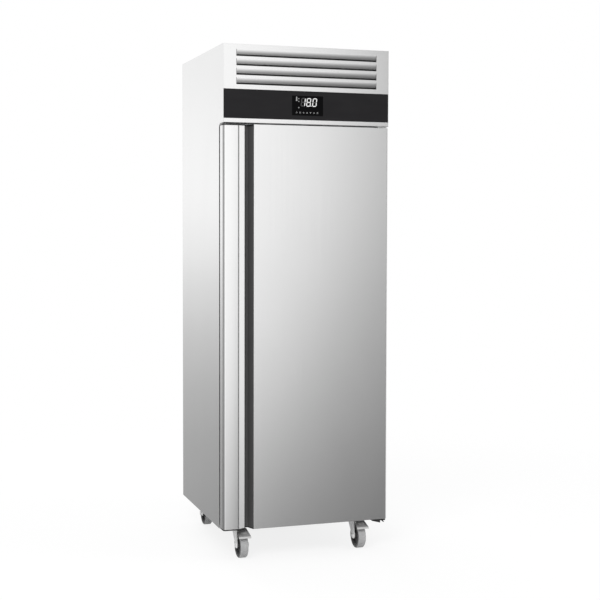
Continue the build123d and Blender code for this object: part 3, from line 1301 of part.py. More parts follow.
def electrical_box():
    """Terminal box on the deck beside the compressor."""
    x0 = ELECTRIC_X - ELECTRIC_WIDTH / 2
    x1 = ELECTRIC_X + ELECTRIC_WIDTH / 2
    y1 = BACK - SHEET - GLAND_NUT_LENGTH - GLAND_CAP_LENGTH
    y0 = y1 - ELECTRIC_DEPTH
    box = block(x0, x1, y0, y1, DECK_TOP, DECK_TOP + ELECTRIC_HEIGHT)
    box = fillet(box.edges().filter_by(Axis.Y), 2 * ELECTRIC_WALL)
    hollow = block(x0 + ELECTRIC_WALL, x1 - ELECTRIC_WALL, y0 + ELECTRIC_WALL, y1 - ELECTRIC_WALL,
                   DECK_TOP + ELECTRIC_WALL, DECK_TOP + ELECTRIC_HEIGHT - ELECTRIC_WALL)
    hole = bar_y(ELECTRIC_X, y0 + ELECTRIC_DEPTH / 2, y1, GLAND_Z, BOX_HOLE)
    return box - hollow - hole


def power_gland():
    """Cord gland through the rear panel, open for the mains cord."""
    y0 = BACK - SHEET - GLAND_NUT_LENGTH
    body = bar_y(ELECTRIC_X, y0 - GLAND_CAP_LENGTH, BACK, GLAND_Z, GLAND_THREAD)
    section = Pos(ELECTRIC_X, GLAND_Z) * RegularPolygon(GLAND_HEX, 6)
    nut = extrude_y(section, y0, BACK - SHEET)
    bore = bar_y(ELECTRIC_X, y0 - GLAND_CAP_LENGTH, BACK, GLAND_Z, GLAND_BORE)
    return body + nut - bore


# Casters, drawn about a swivel axis at the origin with the wheel trailing to -Y

def caster_plate():
    """Mounting plate with its upper race and the riveted kingpin."""
    z0 = BOTTOM - CASTER_PLATE
    plate = extrude_z(RectangleRounded(CASTER_PLATE_X, CASTER_PLATE_Y, 2 * CASTER_PLATE), z0, BOTTOM)
    for x in (-PLATE_HOLE_X / 2, PLATE_HOLE_X / 2):
        for y in (-PLATE_HOLE_Y / 2, PLATE_HOLE_Y / 2):
            plate = plate - bar_z(x, y, z0, BOTTOM, PLATE_HOLE_RADIUS)
    race = bar_z(0, 0, z0 - RACE_HEIGHT, z0, RACE_RADIUS)
    race = chamfer(race.edges().sort_by(Axis.Z)[-1:], RACE_HEIGHT / 2)
    under = FORK_TOP - FORK_SHEET - RACE_GAP
    pin = bar_z(0, 0, under, z0, KINGPIN_RADIUS)
    head = bar_z(0, 0, under - KINGPIN_HEAD_HEIGHT, under, KINGPIN_HEAD)
    return plate + race + pin + head


def fork_leg():
    """Side section of a fork leg: a hull round the axle eye, the pedal ear and the rear corner."""
    eye = Pos(-CASTER_TRAIL, WHEEL_RADIUS) * Circle(FORK_AXLE_EYE)
    ear = Pos(PEDAL_PIVOT_Y, PEDAL_PIVOT_Z) * Circle(FORK_EAR)
    corner = Pos(FORK_REAR - FORK_SHEET, FORK_TOP - FORK_SHEET) * Circle(FORK_SHEET)
    return make_hull(eye.edges() + ear.edges() + corner.edges())


def caster_fork():
    """Pressed fork with its dished head, and the axle bolt with its nut."""
    leg = extrude_x(fork_leg(), FORK_LEG_IN, FORK_LEG_OUT)
    top = block(-FORK_LEG_OUT, FORK_LEG_OUT, -FORK_FRONT, FORK_REAR, FORK_TOP - FORK_SHEET, FORK_TOP)
    dish = bar_z(0, 0, FORK_TOP - FORK_SHEET, FORK_TOP + FORK_DISH_RISE, FORK_DISH)
    dish = chamfer(dish.edges().sort_by(Axis.Z)[-1:], FORK_DISH_CHAMFER)
    kingpin_hole = bar_z(0, 0, FORK_TOP - 2 * FORK_SHEET, BOTTOM, KINGPIN_RADIUS + AXLE_FIT)
    reach = FORK_LEG_OUT + AXLE_NUT + SHEET
    axle_hole = bar_x(-reach, reach, -CASTER_TRAIL, WHEEL_RADIUS, AXLE_RADIUS)
    ear_hole = bar_x(-reach, reach, PEDAL_PIVOT_Y, PEDAL_PIVOT_Z, PEDAL_PIN + AXLE_FIT)
    fork = top + dish + both_sides(leg) - kingpin_hole - axle_hole - ear_hole
    hexagon = Pos(-CASTER_TRAIL, WHEEL_RADIUS) * RegularPolygon(AXLE_HEX, 6)
    shank = bar_x(-FORK_LEG_OUT, FORK_LEG_OUT + AXLE_NUT + SHEET, -CASTER_TRAIL, WHEEL_RADIUS, AXLE_RADIUS)
    bolt = shank + extrude_x(hexagon, -FORK_LEG_OUT - AXLE_HEAD, -FORK_LEG_OUT)
    nut = extrude_x(hexagon, FORK_LEG_OUT, FORK_LEG_OUT + AXLE_NUT) - axle_hole
    return [fork, bolt, nut]


def caster_wheel():
    """Wheel core with its hub and web, and the rubber tread round it."""
    half = WHEEL_WIDTH / 2
    tread_points = [
        (WHEEL_CORE_RADIUS, -half),
        (WHEEL_RADIUS - WHEEL_CHAMFER, -half),
        (WHEEL_RADIUS, -half + WHEEL_CHAMFER),
        (WHEEL_RADIUS, half - WHEEL_CHAMFER),
        (WHEEL_RADIUS - WHEEL_CHAMFER, half),
        (WHEEL_CORE_RADIUS, half),
    ]
    hub = WHEEL_HUB_WIDTH / 2
    web = WHEEL_WEB / 2
    rim = half - SHEET
    bore = AXLE_RADIUS + AXLE_FIT
    core_points = [
        (bore, -hub), (WHEEL_HUB_RADIUS, -hub), (WHEEL_HUB_RADIUS, -web), (WHEEL_RIM, -web),
        (WHEEL_RIM, -rim), (WHEEL_CORE_RADIUS, -rim), (WHEEL_CORE_RADIUS, rim), (WHEEL_RIM, rim),
        (WHEEL_RIM, web), (WHEEL_HUB_RADIUS, web), (WHEEL_HUB_RADIUS, hub), (bore, hub),
    ]
    place = Pos(0, -CASTER_TRAIL, WHEEL_RADIUS) * Rot(0, -90, 0)
    pieces = []
    for points in (tread_points, core_points):
        face = Plane.XZ * make_face(Polyline(*points, close=True))
        pieces.append(place * revolve(face, Axis.Z))
    return pieces


def brake_pedal():
    """Pressed brake pedal on its pin, with side cheeks, a raised oval and the brake shoe."""
    points = [
        (PEDAL_REAR, PEDAL_TOP_Z),
        (PEDAL_KNEE, PEDAL_TOP_Z),
        (PEDAL_TOE, PEDAL_TOE_Z),
        (PEDAL_TOE - PEDAL_SHEET, PEDAL_TOE_Z - PEDAL_LIP),
    ]
    widest = PEDAL_TOE_WIDTH / 2
    sheet = extrude_x(bent_sheet(points, [2 * BEND, BEND], PEDAL_SHEET), -widest, widest)
    rear = PEDAL_REAR_WIDTH / 2
    plan = Polyline((-rear, PEDAL_REAR + SHEET), (rear, PEDAL_REAR + SHEET), (rear, PEDAL_KNEE),
                    (widest, PEDAL_TOE), (widest, PEDAL_TOE - 2 * PEDAL_LIP),
                    (-widest, PEDAL_TOE - 2 * PEDAL_LIP), (-widest, PEDAL_TOE), (-rear, PEDAL_KNEE),
                    close=True)
    sheet = sheet & extrude_z(make_face(plan), PEDAL_PIVOT_Z - WHEEL_RADIUS, BOTTOM)
    slope = atan2(PEDAL_TOP_Z - PEDAL_TOE_Z, PEDAL_KNEE - PEDAL_TOE)
    middle_y = (PEDAL_KNEE + PEDAL_TOE) / 2
    middle_z = (PEDAL_TOP_Z + PEDAL_TOE_Z) / 2
    boss = extrude(SlotOverall(PEDAL_BOSS_LENGTH, PEDAL_BOSS_WIDTH), PEDAL_SHEET / 2 + PEDAL_BOSS_RISE)
    boss = Pos(0, middle_y, middle_z) * Rot(degrees(slope), 0, 0) * boss
    eye = Pos(PEDAL_PIVOT_Y, PEDAL_PIVOT_Z) * Circle(2 * PEDAL_PIN)
    tab = Pos(PEDAL_KNEE + PEDAL_SHEET, PEDAL_TOP_Z) * Circle(SHEET)
    cheek = extrude_x(make_hull(eye.edges() + tab.edges()), PEDAL_CHEEK_OUT - PEDAL_CHEEK, PEDAL_CHEEK_OUT)
    pin = bar_x(-FORK_LEG_OUT, FORK_LEG_OUT, PEDAL_PIVOT_Y, PEDAL_PIVOT_Z, PEDAL_PIN)
    shoe = block(-SHOE_WIDTH / 2, SHOE_WIDTH / 2, SHOE_Y - SHOE_THICK / 2, SHOE_Y + SHOE_THICK / 2,
                 2 * WHEEL_RADIUS + SHOE_GAP, PEDAL_TOP_Z)
    return sheet + boss + both_sides(cheek) + pin + shoe


def caster_places():
    """Name, swivel axis and heading of each caster: the front wheels lead, the rear ones trail."""
    x = RIGHT - WHEEL_REACH - CASTER_SIDE_GAP
    y_front = FRONT + WHEEL_REACH + CASTER_FRONT_GAP
    y_rear = BACK - WHEEL_REACH - CASTER_REAR_GAP
    return [
        ("front_left", Pos(-x, y_front, 0)),
        ("front_right", Pos(x, y_front, 0)),
        ("rear_left", Pos(-x, y_rear, 0) * Rot(0, 0, 180)),
        ("rear_right", Pos(x, y_rear, 0) * Rot(0, 0, 180)),
    ]


def placed(place, shapes):
    """The shapes of a list, each moved to its place."""
    return [place * shape for shape in shapes]


# All nodes

def build():
    """Every node of the freezer by name."""
    right = right_side_panel()
    nodes = {
        "right_side_panel": right,
        "left_side_panel": mirror(right, Plane.YZ),
        "back_panel": back_panel(),
        "base_panel": base_panel(),
        "machine_deck": machine_deck(),
        "cabinet_insulation": cabinet_insulation(),
        "inner_liner": inner_liner(),
        "door_frame_trim": door_frame_trim(),
        "top_cover": top_cover(),
        "rear_vent_panel": rear_vent_panel(),
        "front_fascia": front_fascia(),
        "control_strip": control_strip(),
        "display_module": display_module(),
        "controller_box": controller_box(),
        "door_outer_panel": door_outer_panel(),
        "door_handle_stile": door_handle_stile(),
        "door_handle_channel": door_handle_channel(),
        "door_end_caps": door_end_caps(),
        "door_insulation": door_insulation(),
        "door_inner_panel": door_inner_panel(),
        "door_gasket": door_gasket(),
        "door_hinge_bushes": door_hinge_bushes(),
        "upper_hinge_bracket": upper_hinge_bracket(),
        "lower_hinge_bracket": lower_hinge_bracket(),
        "shelf_uprights": shelf_uprights(),
        "evaporator_cover": evaporator_cover(),
        "evaporator_coil": evaporator_coil(),
        "evaporator_drip_tray": evaporator_drip_tray(),
        "evaporator_fan_motor": evaporator_fan_motor(),
        "evaporator_fan_blade": evaporator_fan_blade(),
        "drain_pipe": drain_pipe(),
        "condensate_pan": condensate_pan(),
        "condenser_coil": condenser_coil(),
        "condenser_shroud": condenser_shroud(),
        "condenser_fan_motor": condenser_fan_motor(),
        "condenser_fan_blade": condenser_fan_blade(),
        "compressor": compressor(),
        "compressor_feet": compressor_feet(),
        "filter_drier": filter_drier(),
        "refrigerant_pipes": refrigerant_pipes(),
        "electrical_box": electrical_box(),
        "power_gland": power_gland(),
    }
    for number, level in enumerate(SHELF_LEVELS, start=1):
        nodes[f"shelf_runners_{number}"] = shelf_runners(level)
        nodes[f"wire_shelf_{number}"] = wire_shelf(level)
    plates = []
    for name, place in caster_places():
        plates.append(place * caster_plate())
        nodes[f"caster_fork_{name}"] = placed(place, caster_fork())
        nodes[f"caster_wheel_{name}"] = placed(place, caster_wheel())
        if name.startswith("front"):
            nodes[f"brake_pedal_{name}"] = place * brake_pedal()
    nodes["caster_plates"] = plates
    return nodes


for node, shape in build().items():
    whole = Compound(children=list(shape)) if isinstance(shape, list) else shape
    export_step(whole, f"parts/{node}.step")
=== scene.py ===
import json
from math import cos, pi, radians, sin, tan

import bmesh
import bpy
from mathutils import Matrix, Vector


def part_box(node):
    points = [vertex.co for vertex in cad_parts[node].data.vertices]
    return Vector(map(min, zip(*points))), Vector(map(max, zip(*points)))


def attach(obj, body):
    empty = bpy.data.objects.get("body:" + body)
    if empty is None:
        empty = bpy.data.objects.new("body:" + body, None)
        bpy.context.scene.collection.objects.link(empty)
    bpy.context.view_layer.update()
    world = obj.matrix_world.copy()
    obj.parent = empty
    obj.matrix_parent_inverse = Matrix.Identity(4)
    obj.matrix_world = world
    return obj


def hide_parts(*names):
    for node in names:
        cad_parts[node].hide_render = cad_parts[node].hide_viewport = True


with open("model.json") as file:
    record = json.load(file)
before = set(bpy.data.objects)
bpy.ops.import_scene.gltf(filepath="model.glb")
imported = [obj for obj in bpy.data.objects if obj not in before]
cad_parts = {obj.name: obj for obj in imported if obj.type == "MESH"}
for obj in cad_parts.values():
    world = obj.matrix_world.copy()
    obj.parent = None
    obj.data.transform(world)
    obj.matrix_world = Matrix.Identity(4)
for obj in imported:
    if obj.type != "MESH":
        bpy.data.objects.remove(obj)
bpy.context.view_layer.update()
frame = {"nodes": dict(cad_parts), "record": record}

# Places and sizes that repeat the cabinet's. All lengths are in metres.
FRONT = -0.350
BACK = 0.350
HALF_WIDTH = 0.340
TOP = 2.010
STEEL = 0.001
CASTER_X = 0.247
AXLE_HEIGHT = 0.050
FRONT_AXLE_Y = -0.275
REAR_AXLE_Y = 0.298
SHELVES = (1, 2, 3)
CORNERS = ("front_left", "front_right", "rear_left", "rear_right")

MERGE_DISTANCE = 1e-6


def rgba(colour):
    """A grey level or a red, green and blue triple as a colour with alpha."""
    if isinstance(colour, (int, float)):
        colour = (colour,) * 3
    return (*colour, 1.0)


def operator(operation, reflected=False):
    """A Python operator that adds a Math node, with its two values swapped if reflected."""
    def combine(signal, other):
        values = (other, signal) if reflected else (signal, other)
        return signal.tree.calculate(operation, *values)
    return combine


class Signal:
    """One output in a node tree, for use in Python expressions."""

    __add__, __radd__ = operator("ADD"), operator("ADD", True)
    __sub__, __rsub__ = operator("SUBTRACT"), operator("SUBTRACT", True)
    __mul__, __rmul__ = operator("MULTIPLY"), operator("MULTIPLY", True)
    __truediv__, __rtruediv__ = operator("DIVIDE"), operator("DIVIDE", True)
    at_least = operator("MAXIMUM")
    at_most = operator("MINIMUM")

    def __init__(self, tree, socket):
        self.tree = tree
        self.socket = socket

    def __abs__(self):
        return self.tree.calculate("ABSOLUTE", self)

    def out(self, name):
        """Another output of the same node."""
        return Signal(self.tree, self.socket.node.outputs[name])


class Nodes:
    """A node tree that is written as expressions."""

    def __init__(self, tree):
        self.tree = tree
        tree.nodes.clear()

    def node(self, kind, settings=None, inputs=None, output=0):
        """Adds a node, with its settings first and then the values or links of its sockets."""
        made = self.tree.nodes.new(kind)
        for key, value in (settings or {}).items():
            if key == "stops":
                self.set_stops(made.color_ramp, value)
            else:
                setattr(made, key, value)
        for key, value in (inputs or {}).items():
            if isinstance(value, Signal):
                self.tree.links.new(value.socket, made.inputs[key])
            else:
                made.inputs[key].default_value = value
        return Signal(self, made.outputs[output]) if len(made.outputs) else None

    def set_stops(self, ramp, stops):
        """Gives a ramp its places and levels, eased from each to the next."""
        ramp.interpolation = "EASE"
        while len(ramp.elements) > 1:
            ramp.elements.remove(ramp.elements[-1])
        for place, (position, colour) in enumerate(stops):
            element = ramp.elements[0] if place == 0 else ramp.elements.new(position)
            element.position = position
            element.color = rgba(colour)

    def calculate(self, operation, *values):
        """A Math node on the values given."""
        return self.node("ShaderNodeMath", {"operation": operation}, dict(enumerate(values)))

    def diagonal(self, a, b):
        """The distance that two steps at right angles make."""
        return self.calculate("SQRT", a * a + b * b)

    def axes(self, place):
        """The three coordinates of a place or a direction."""
        x = self.node("ShaderNodeSeparateXYZ", inputs={0: place})
        return x, x.out("Y"), x.out("Z")

    def ramp(self, value, low, high, to_low=0.0, to_high=1.0):
        """A smooth step of a value between two limits."""
        return self.node("ShaderNodeMapRange", {"interpolation_type": "SMOOTHSTEP"},
                         {0: value, 1: low, 2: high, 3: to_low, 4: to_high})

    def between(self, low, high, mask):
        """The colour between two colours that the mask picks."""
        low, high = (c if isinstance(c, Signal) else rgba(c) for c in (low, high))
        return self.node("ShaderNodeMix", {"data_type": "RGBA"}, {0: mask, 6: low, 7: high},
                         output=2)


class Surface(Nodes):
    """A finish, with the place on the object in metres."""

    def __init__(self, name):
        self.material = bpy.data.materials.new(name)
        self.material.use_nodes = True
        super().__init__(self.material.node_tree)
        self.place = self.node("ShaderNodeTexCoord", output="Object")
        self.x, self.y, self.z = self.axes(self.place)

    def scaled(self, size):
        """The place divided by a grain size, one for all axes or one for each."""
        sizes = size if isinstance(size, tuple) else (size,) * 3
        return self.node("ShaderNodeVectorMath", {"operation": "DIVIDE"},
                         {0: self.place, 1: sizes})

    def grain(self, size, detail=3.0, rough=0.5):
        """Soft noise from 0 to 1 whose blots have the size given."""
        return self.node("ShaderNodeTexNoise", inputs={
            "Vector": self.scaled(size), "Scale": 1.0, "Detail": detail, "Roughness": rough})

    def cells(self, size, feature="F1", output=0):
        """Random cells of the size given: the distance from their middle or edge, or a colour."""
        return self.node("ShaderNodeTexVoronoi", {"feature": feature},
                         {"Vector": self.scaled(size), "Scale": 1.0}, output=output)

    def done(self, colour, roughness, metallic=0.0, height=None, depth=None, **fixed):
        """Ends the tree in a shader. A height from 0 to 1 stands up by the depth."""
        inputs = {"Base Color": colour if isinstance(colour, Signal) else rgba(colour),
                  "Roughness": roughness, "Metallic": metallic}
        for key, value in fixed.items():
            inputs[key.replace("_", " ")] = value
        if height is not None:
            inputs["Normal"] = self.node("ShaderNodeBump", inputs={
                "Strength": 1.0, "Distance": depth, "Height": height})
        shader = self.node("ShaderNodeBsdfPrincipled", inputs=inputs)
        self.node("ShaderNodeOutputMaterial", inputs={0: shader})
        return self.material


# Finishes

STEEL_TONE = 0.86
STEEL_ROUGHNESS = 0.18
BRUSH_DEPTH = 0.000012
FLAKE_SIZE = 0.011
FLAKE_SEAM = 0.12
PAINT_DUST_COLOUR = (0.22, 0.21, 0.20)
# Where a change of colour starts and ends: the wheel's core by its radius, the painted shade on its
# sides by the distance from its middle, and the pedal's oval and lip with their painted highlight
# and wear
CORE_EDGE = (0.0405, 0.0412)
FLANK_SHADE_EDGE = (0.0150, 0.0158)
OVAL_EDGE = (0.0050, 0.0070)
OVAL_Y = -0.310
OVAL_STRAIGHT = 0.0065
LIP_Y = -0.3285
LIP_WIDTH = 0.0012


def stretched(size, length, axis):
    """Grain sizes for the three axes, with another one along the axis named."""
    return tuple(length if letter == axis else size for letter in "xyz")


def brushed_steel(name, axis):
    """Satin stainless sheet, brushed along one axis, with faint wipe marks and rolling shade."""
    s = Surface(name)
    brush = s.grain(stretched(0.0004, 0.09, axis), detail=2.0)
    streak = s.grain(stretched(0.004, 0.7, axis), detail=2.0)
    wipe = s.grain(stretched(0.16, 0.30, "z"))
    light = tuple(STEEL_TONE * c for c in (1.0, 1.0, 0.995))
    dark = tuple(STEEL_TONE * c for c in (0.94, 0.94, 0.945))
    colour = s.between(dark, light, brush * 0.45 + streak * 0.55)
    roughness = STEEL_ROUGHNESS - 0.03 + brush * 0.05 + wipe * 0.03
    return s.done(colour, roughness, metallic=1.0, height=brush, depth=BRUSH_DEPTH)


def galvanised_sheet():
    """Zinc-coated sheet with its crystal flakes."""
    s = Surface("galvanised_sheet")
    flake = s.node("ShaderNodeSeparateColor", inputs={0: s.cells(FLAKE_SIZE, output="Color")})
    cloud = s.grain(0.05, detail=4.0)
    tone = flake * 0.55 + cloud * 0.45
    colour = s.between((0.50, 0.52, 0.535), (0.72, 0.735, 0.745), tone)
    seam = s.ramp(s.cells(FLAKE_SIZE, "DISTANCE_TO_EDGE"), 0.0, FLAKE_SEAM)
    return s.done(colour, 0.36 + flake * 0.16, metallic=1.0, height=seam, depth=0.00003)


def liner_sheet():
    """Bright stainless sheet of the compartment, finely brushed across."""
    s = Surface("liner_sheet")
    brush = s.grain(stretched(0.05, 0.0006, "z"))
    haze = s.grain(0.2)
    colour = s.between((0.70, 0.70, 0.70), (0.82, 0.82, 0.815), brush * 0.6 + haze * 0.4)
    return s.done(colour, 0.27 + brush * 0.08, metallic=1.0, height=brush, depth=BRUSH_DEPTH)


def foam_fill():
    """Cut polyurethane foam with its closed bubbles."""
    s = Surface("foam_fill")
    bubble = s.cells(0.0012)
    age = s.grain(0.08, detail=4.0)
    colour = s.between((0.66, 0.55, 0.30), (0.86, 0.79, 0.56), bubble * 0.5 + age * 0.5)
    return s.done(colour, 0.9, height=bubble, depth=0.0004)


def moulded(name, dark, light, roughness):
    """Moulded plastic with a fine spark-eroded grain and slow shade."""
    s = Surface(name)
    grain = s.grain(0.0009)
    shade = s.grain(0.07)
    colour = s.between(dark, light, shade * 0.6 + grain * 0.4)
    return s.done(colour, roughness - 0.04 + grain * 0.08, height=grain, depth=0.00006)


def black_band():
    """Satin black overlay of the control strip, a little greyer where it is wiped."""
    s = Surface("black_band")
    grain = s.grain(0.0006, detail=2.0)
    wiped = s.grain(stretched(0.12, 0.03, "z"))
    colour = s.between((0.011, 0.0105, 0.0115), (0.018, 0.0175, 0.0185), wiped)
    return s.done(colour, 0.34 + wiped * 0.06, height=grain, depth=BRUSH_DEPTH,
                  Specular_IOR_Level=0.09)


def dark_glass():
    """Glossy window of the display with faint finger marks."""
    s = Surface("dark_glass")
    touched = s.grain(0.006, detail=4.0)
    colour = s.between((0.0012, 0.0012, 0.0014), (0.0024, 0.0024, 0.0027), touched)
    return s.done(colour, 0.06 + touched * 0.05, Specular_IOR_Level=0.04)


def lit_segment(name, strength, level):
    """A glowing mark of the display, its glow varying a little at random; on unlit segments and
    printed keys this glow is painted light.
    """
    s = Surface(name)
    light = s.between(level * 0.88, level, s.grain(0.004, detail=1.0))
    return s.done(colour=0.02, roughness=0.4, Emission_Color=light, Emission_Strength=strength)


def rubber(name, dark, light):
    """Black rubber, greyer where dust has settled."""
    s = Surface(name)
    grain = s.grain(0.0007)
    dust = s.grain(0.018, detail=4.0)
    return s.done(s.between(dark, light, dust), 0.62 + dust * 0.14, height=grain, depth=0.00008)


def zinc_plate(name, dark, light, roughness, metallic):
    """Zinc plating, slightly clouded, with a fine pressed grain."""
    s = Surface(name)
    cloud = s.grain(0.012, detail=4.0)
    grain = s.grain(0.0008, detail=2.0)
    return s.done(s.between(dark, light, cloud), roughness + cloud * 0.14, metallic,
                  height=grain, depth=0.00002)


def painted(name, dark, light, roughness):
    """Sprayed paint with a light orange peel and dust on its upper faces."""
    s = Surface(name)
    peel = s.grain(0.0016, detail=2.0)
    cloud = s.grain(0.05, detail=4.0)
    up = s.axes(s.node("ShaderNodeNewGeometry", output="Normal"))[2]
    dusty = s.ramp(up, 0.35, 1.0, 0.0, 0.5) * cloud
    colour = s.between(s.between(dark, light, cloud), PAINT_DUST_COLOUR, dusty)
    return s.done(colour, roughness + dusty * 0.35, height=peel, depth=0.00005)


def finned_aluminium(name, dark, light):
    """Thin aluminium fins, drawn along their depth."""
    s = Surface(name)
    haze = s.grain(0.03, detail=4.0)
    mill = s.grain(stretched(0.0006, 0.02, "y"), detail=2.0)
    colour = s.between(dark, light, haze * 0.5 + mill * 0.5)
    return s.done(colour, 0.30 + haze * 0.15, metallic=1.0, height=mill, depth=0.00001)


def copper_tube():
    """Drawn copper with brown tarnish in blots."""
    s = Surface("copper_tube")
    tarnish = s.grain(0.025, detail=5.0, rough=0.6)
    colour = s.between((0.86, 0.43, 0.28), (0.36, 0.19, 0.13), s.ramp(tarnish, 0.45, 0.75))
    return s.done(colour, 0.24 + tarnish * 0.2, metallic=1.0)


def coated_rod():
    """Dip-coated steel wire with a soft grey skin."""
    s = Surface("coated_rod")
    dip = s.grain(0.010)
    pit = s.grain(0.0009, detail=2.0)
    colour = s.between((0.085, 0.085, 0.088), (0.155, 0.155, 0.158), dip)
    return s.done(colour, 0.36 + dip * 0.1, height=pit, depth=0.00004, Coat_Weight=0.25)


def from_caster_middle(s):
    """The distance sideways from the middle of the nearest caster."""
    return abs(abs(s.x) - CASTER_X)


def caster_tread(name, axle_y):
    """Grey rubber tread round a black core, told apart by the distance from the axle, with painted
    shade on its sides.
    """
    s = Surface(name)
    radius = s.diagonal(s.z - AXLE_HEIGHT, s.y - axle_y)
    grain = s.grain(0.0008)
    dust = s.grain(0.015, detail=4.0)
    tread = s.between((0.30, 0.30, 0.305), (0.42, 0.42, 0.42), dust)
    core = s.between((0.045, 0.045, 0.046), (0.075, 0.075, 0.076), dust)
    # The wheel's sides are darker: painted shade for the shadow that falls on them
    shaded_flank = s.between(tread, (0.12, 0.12, 0.122), s.ramp(from_caster_middle(s), *FLANK_SHADE_EDGE))
    colour = s.between(core, shaded_flank, s.ramp(radius, *CORE_EDGE))
    return s.done(colour, 0.45 + dust * 0.2, height=grain, depth=0.00008)


def pedal_paint():
    """Dark plated pedal, lighter on its raised oval and along its lip: painted highlight and wear.
    """
    s = Surface("worn_pedal")
    cloud = s.grain(0.012, detail=4.0)
    peel = s.grain(0.0012, detail=2.0)
    past_straight = (from_caster_middle(s) - OVAL_STRAIGHT).at_least(0.0)
    oval = s.ramp(s.diagonal(past_straight, s.y - OVAL_Y), *OVAL_EDGE, 1.0, 0.0)
    lip = s.ramp(s.y, LIP_Y, LIP_Y + LIP_WIDTH, 1.0, 0.0)
    # The raised oval and the lip are lighter: a painted highlight where they catch the light, with
    # wear
    highlight_and_wear = (oval + lip).at_most(1.0) * (0.55 + cloud * 0.4)
    colour = s.between(s.between(0.24, 0.32, cloud), (0.55, 0.55, 0.545), highlight_and_wear)
    return s.done(colour, 0.44 - highlight_and_wear * 0.1, height=peel, depth=0.00004)


steel_upright = brushed_steel("steel_brushed_upright", "z")
steel_level = brushed_steel("steel_brushed_level", "x")
zinc = zinc_plate("zinc_plate", (0.56, 0.565, 0.56), (0.76, 0.765, 0.755), 0.26, 1.0)
satin_zinc = zinc_plate("satin_zinc", (0.86, 0.86, 0.86), (0.95, 0.95, 0.945), 0.38, 0.15)
rear_tread = caster_tread("rear_caster_tread", REAR_AXLE_Y)
FINISHES = {
    "stainless": steel_upright,
    "galvanised": galvanised_sheet(),
    "liner_steel": liner_sheet(),
    "foam": foam_fill(),
    "frame_plastic": moulded("frame_moulding", 0.60, 0.70, 0.42),
    "black_strip": black_band(),
    "display": dark_glass(),
    "dark_plastic": moulded("black_moulding", 0.010, 0.020, 0.42),
    "gasket": rubber("gasket_vinyl", (0.05, 0.05, 0.052), (0.10, 0.10, 0.10)),
    "white_nylon": moulded("white_nylon", (0.72, 0.72, 0.70), (0.84, 0.84, 0.82), 0.40),
    "zinc_steel": zinc,
    "dark_steel": pedal_paint(),
    "black_steel": painted("black_enamel", 0.012, 0.026, 0.30),
    "coil": finned_aluminium("finned_aluminium", (0.62, 0.63, 0.64), (0.83, 0.84, 0.85)),
    "fan_plastic": moulded("fan_moulding", 0.035, 0.07, 0.45),
    "black_rubber": rubber("foot_rubber", 0.018, 0.045),
    "copper": copper_tube(),
    "coated_wire": coated_rod(),
    "caster_rubber": caster_tread("front_caster_tread", FRONT_AXLE_Y),
}
# Nodes whose finish differs from the rest of their slot
SPECIAL = {
    # The condenser's coil and its shroud are near black: painted shade behind the louvres
    "condenser_coil": finned_aluminium("dusty_fins", (0.05, 0.05, 0.05), (0.10, 0.098, 0.095)),
    "condenser_shroud": FINISHES["black_steel"],
    "door_handle_channel": moulded("channel_moulding", 0.055, 0.080, 0.48),
    "caster_wheel_rear_left": rear_tread,
    "caster_wheel_rear_right": rear_tread,
    **{f"caster_fork_{corner}": satin_zinc for corner in CORNERS},
}


def dress_frame():
    """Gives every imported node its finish."""
    for part in frame["record"]["subparts"]:
        name = part["node"]
        finish = SPECIAL.get(name, FINISHES[part["material_slot"]])
        for slot in frame["nodes"][name].material_slots:
            slot.material = finish


# Pieces


def add_piece(name, mesh, body, finish, replaced=()):
    """Puts a finished mesh on its body."""
    piece = bpy.data.objects.new(name, mesh)
    bpy.context.scene.collection.objects.link(piece)
    mesh.materials.clear()
    mesh.materials.append(finish)
    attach(piece, body)
    if replaced:
        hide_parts(*replaced)


def mesh_from(name, build):
    """A mesh that a function fills, with doubles merged and faces pointing out."""
    bm = bmesh.new()
    build(bm)
    bmesh.ops.remove_doubles(bm, verts=bm.verts, dist=MERGE_DISTANCE)
    bmesh.ops.recalc_face_normals(bm, faces=bm.faces)
    mesh = bpy.data.meshes.new(name)
    bm.to_mesh(mesh)
    bm.free()
    return mesh


def add_prism(bm, outline, y0, y1):
    """A flat shape in X and Z given a thickness along Y."""
    rings = [[bm.verts.new((x, y, z)) for x, z in outline] for y in (y0, y1)]
    bm.faces.new(rings[0])
    bm.faces.new(rings[1][::-1])
    count = len(outline)
    for near in range(count):
        far = (near + 1) % count
        bm.faces.new((rings[0][near], rings[1][near], rings[1][far], rings[0][far]))


def rounded_rectangle(x0, x1, z0, z1, radius, steps=5):
    """The outline of a rectangle whose corners are arcs."""
    points = []
    corners = ((x1 - radius, z1 - radius, 0), (x0 + radius, z1 - radius, 90),
               (x0 + radius, z0 + radius, 180), (x1 - radius, z0 + radius, 270))
    for cx, cz, start in corners:
        for step in range(steps + 1):
            angle = radians(start + 90 * step / steps)
            points.append((cx + radius * cos(angle), cz + radius * sin(angle)))
    return points


# Folded steel of the front

# The stile's folds, by how far they lie from its left edge and from its front
STILE_DEPTH = 0.050
STILE_RETURN = 0.014
STILE_RETURN_RADIUS = 0.002
STILE_CORNER = 0.011
STILE_BEND = 0.062
STILE_BEND_RADIUS = 0.020
STILE_LIP = 0.088
STILE_LIP_DEPTH = 0.0122
STILE_LEVELS = 6
ARC_STEPS = 12
SMOOTH_ANGLE = 30

# The louvres, whose places and openings are those of the cabinet's sheet
GRILLE_TOP = TOP - 0.021
GRILLE_STEP = 0.036
LOUVRES = 4
LOUVRE_HEIGHT = 0.022
LOUVRE_SLIT = 0.005
LOUVRE_HALF = HALF_WIDTH - 0.052 - 0.0005
LOUVRE_DEPTH = 0.0031
LOUVRE_CURVE = 1.5
LOUVRE_CUTS = 10
BLADE_THICKNESS = 0.0012
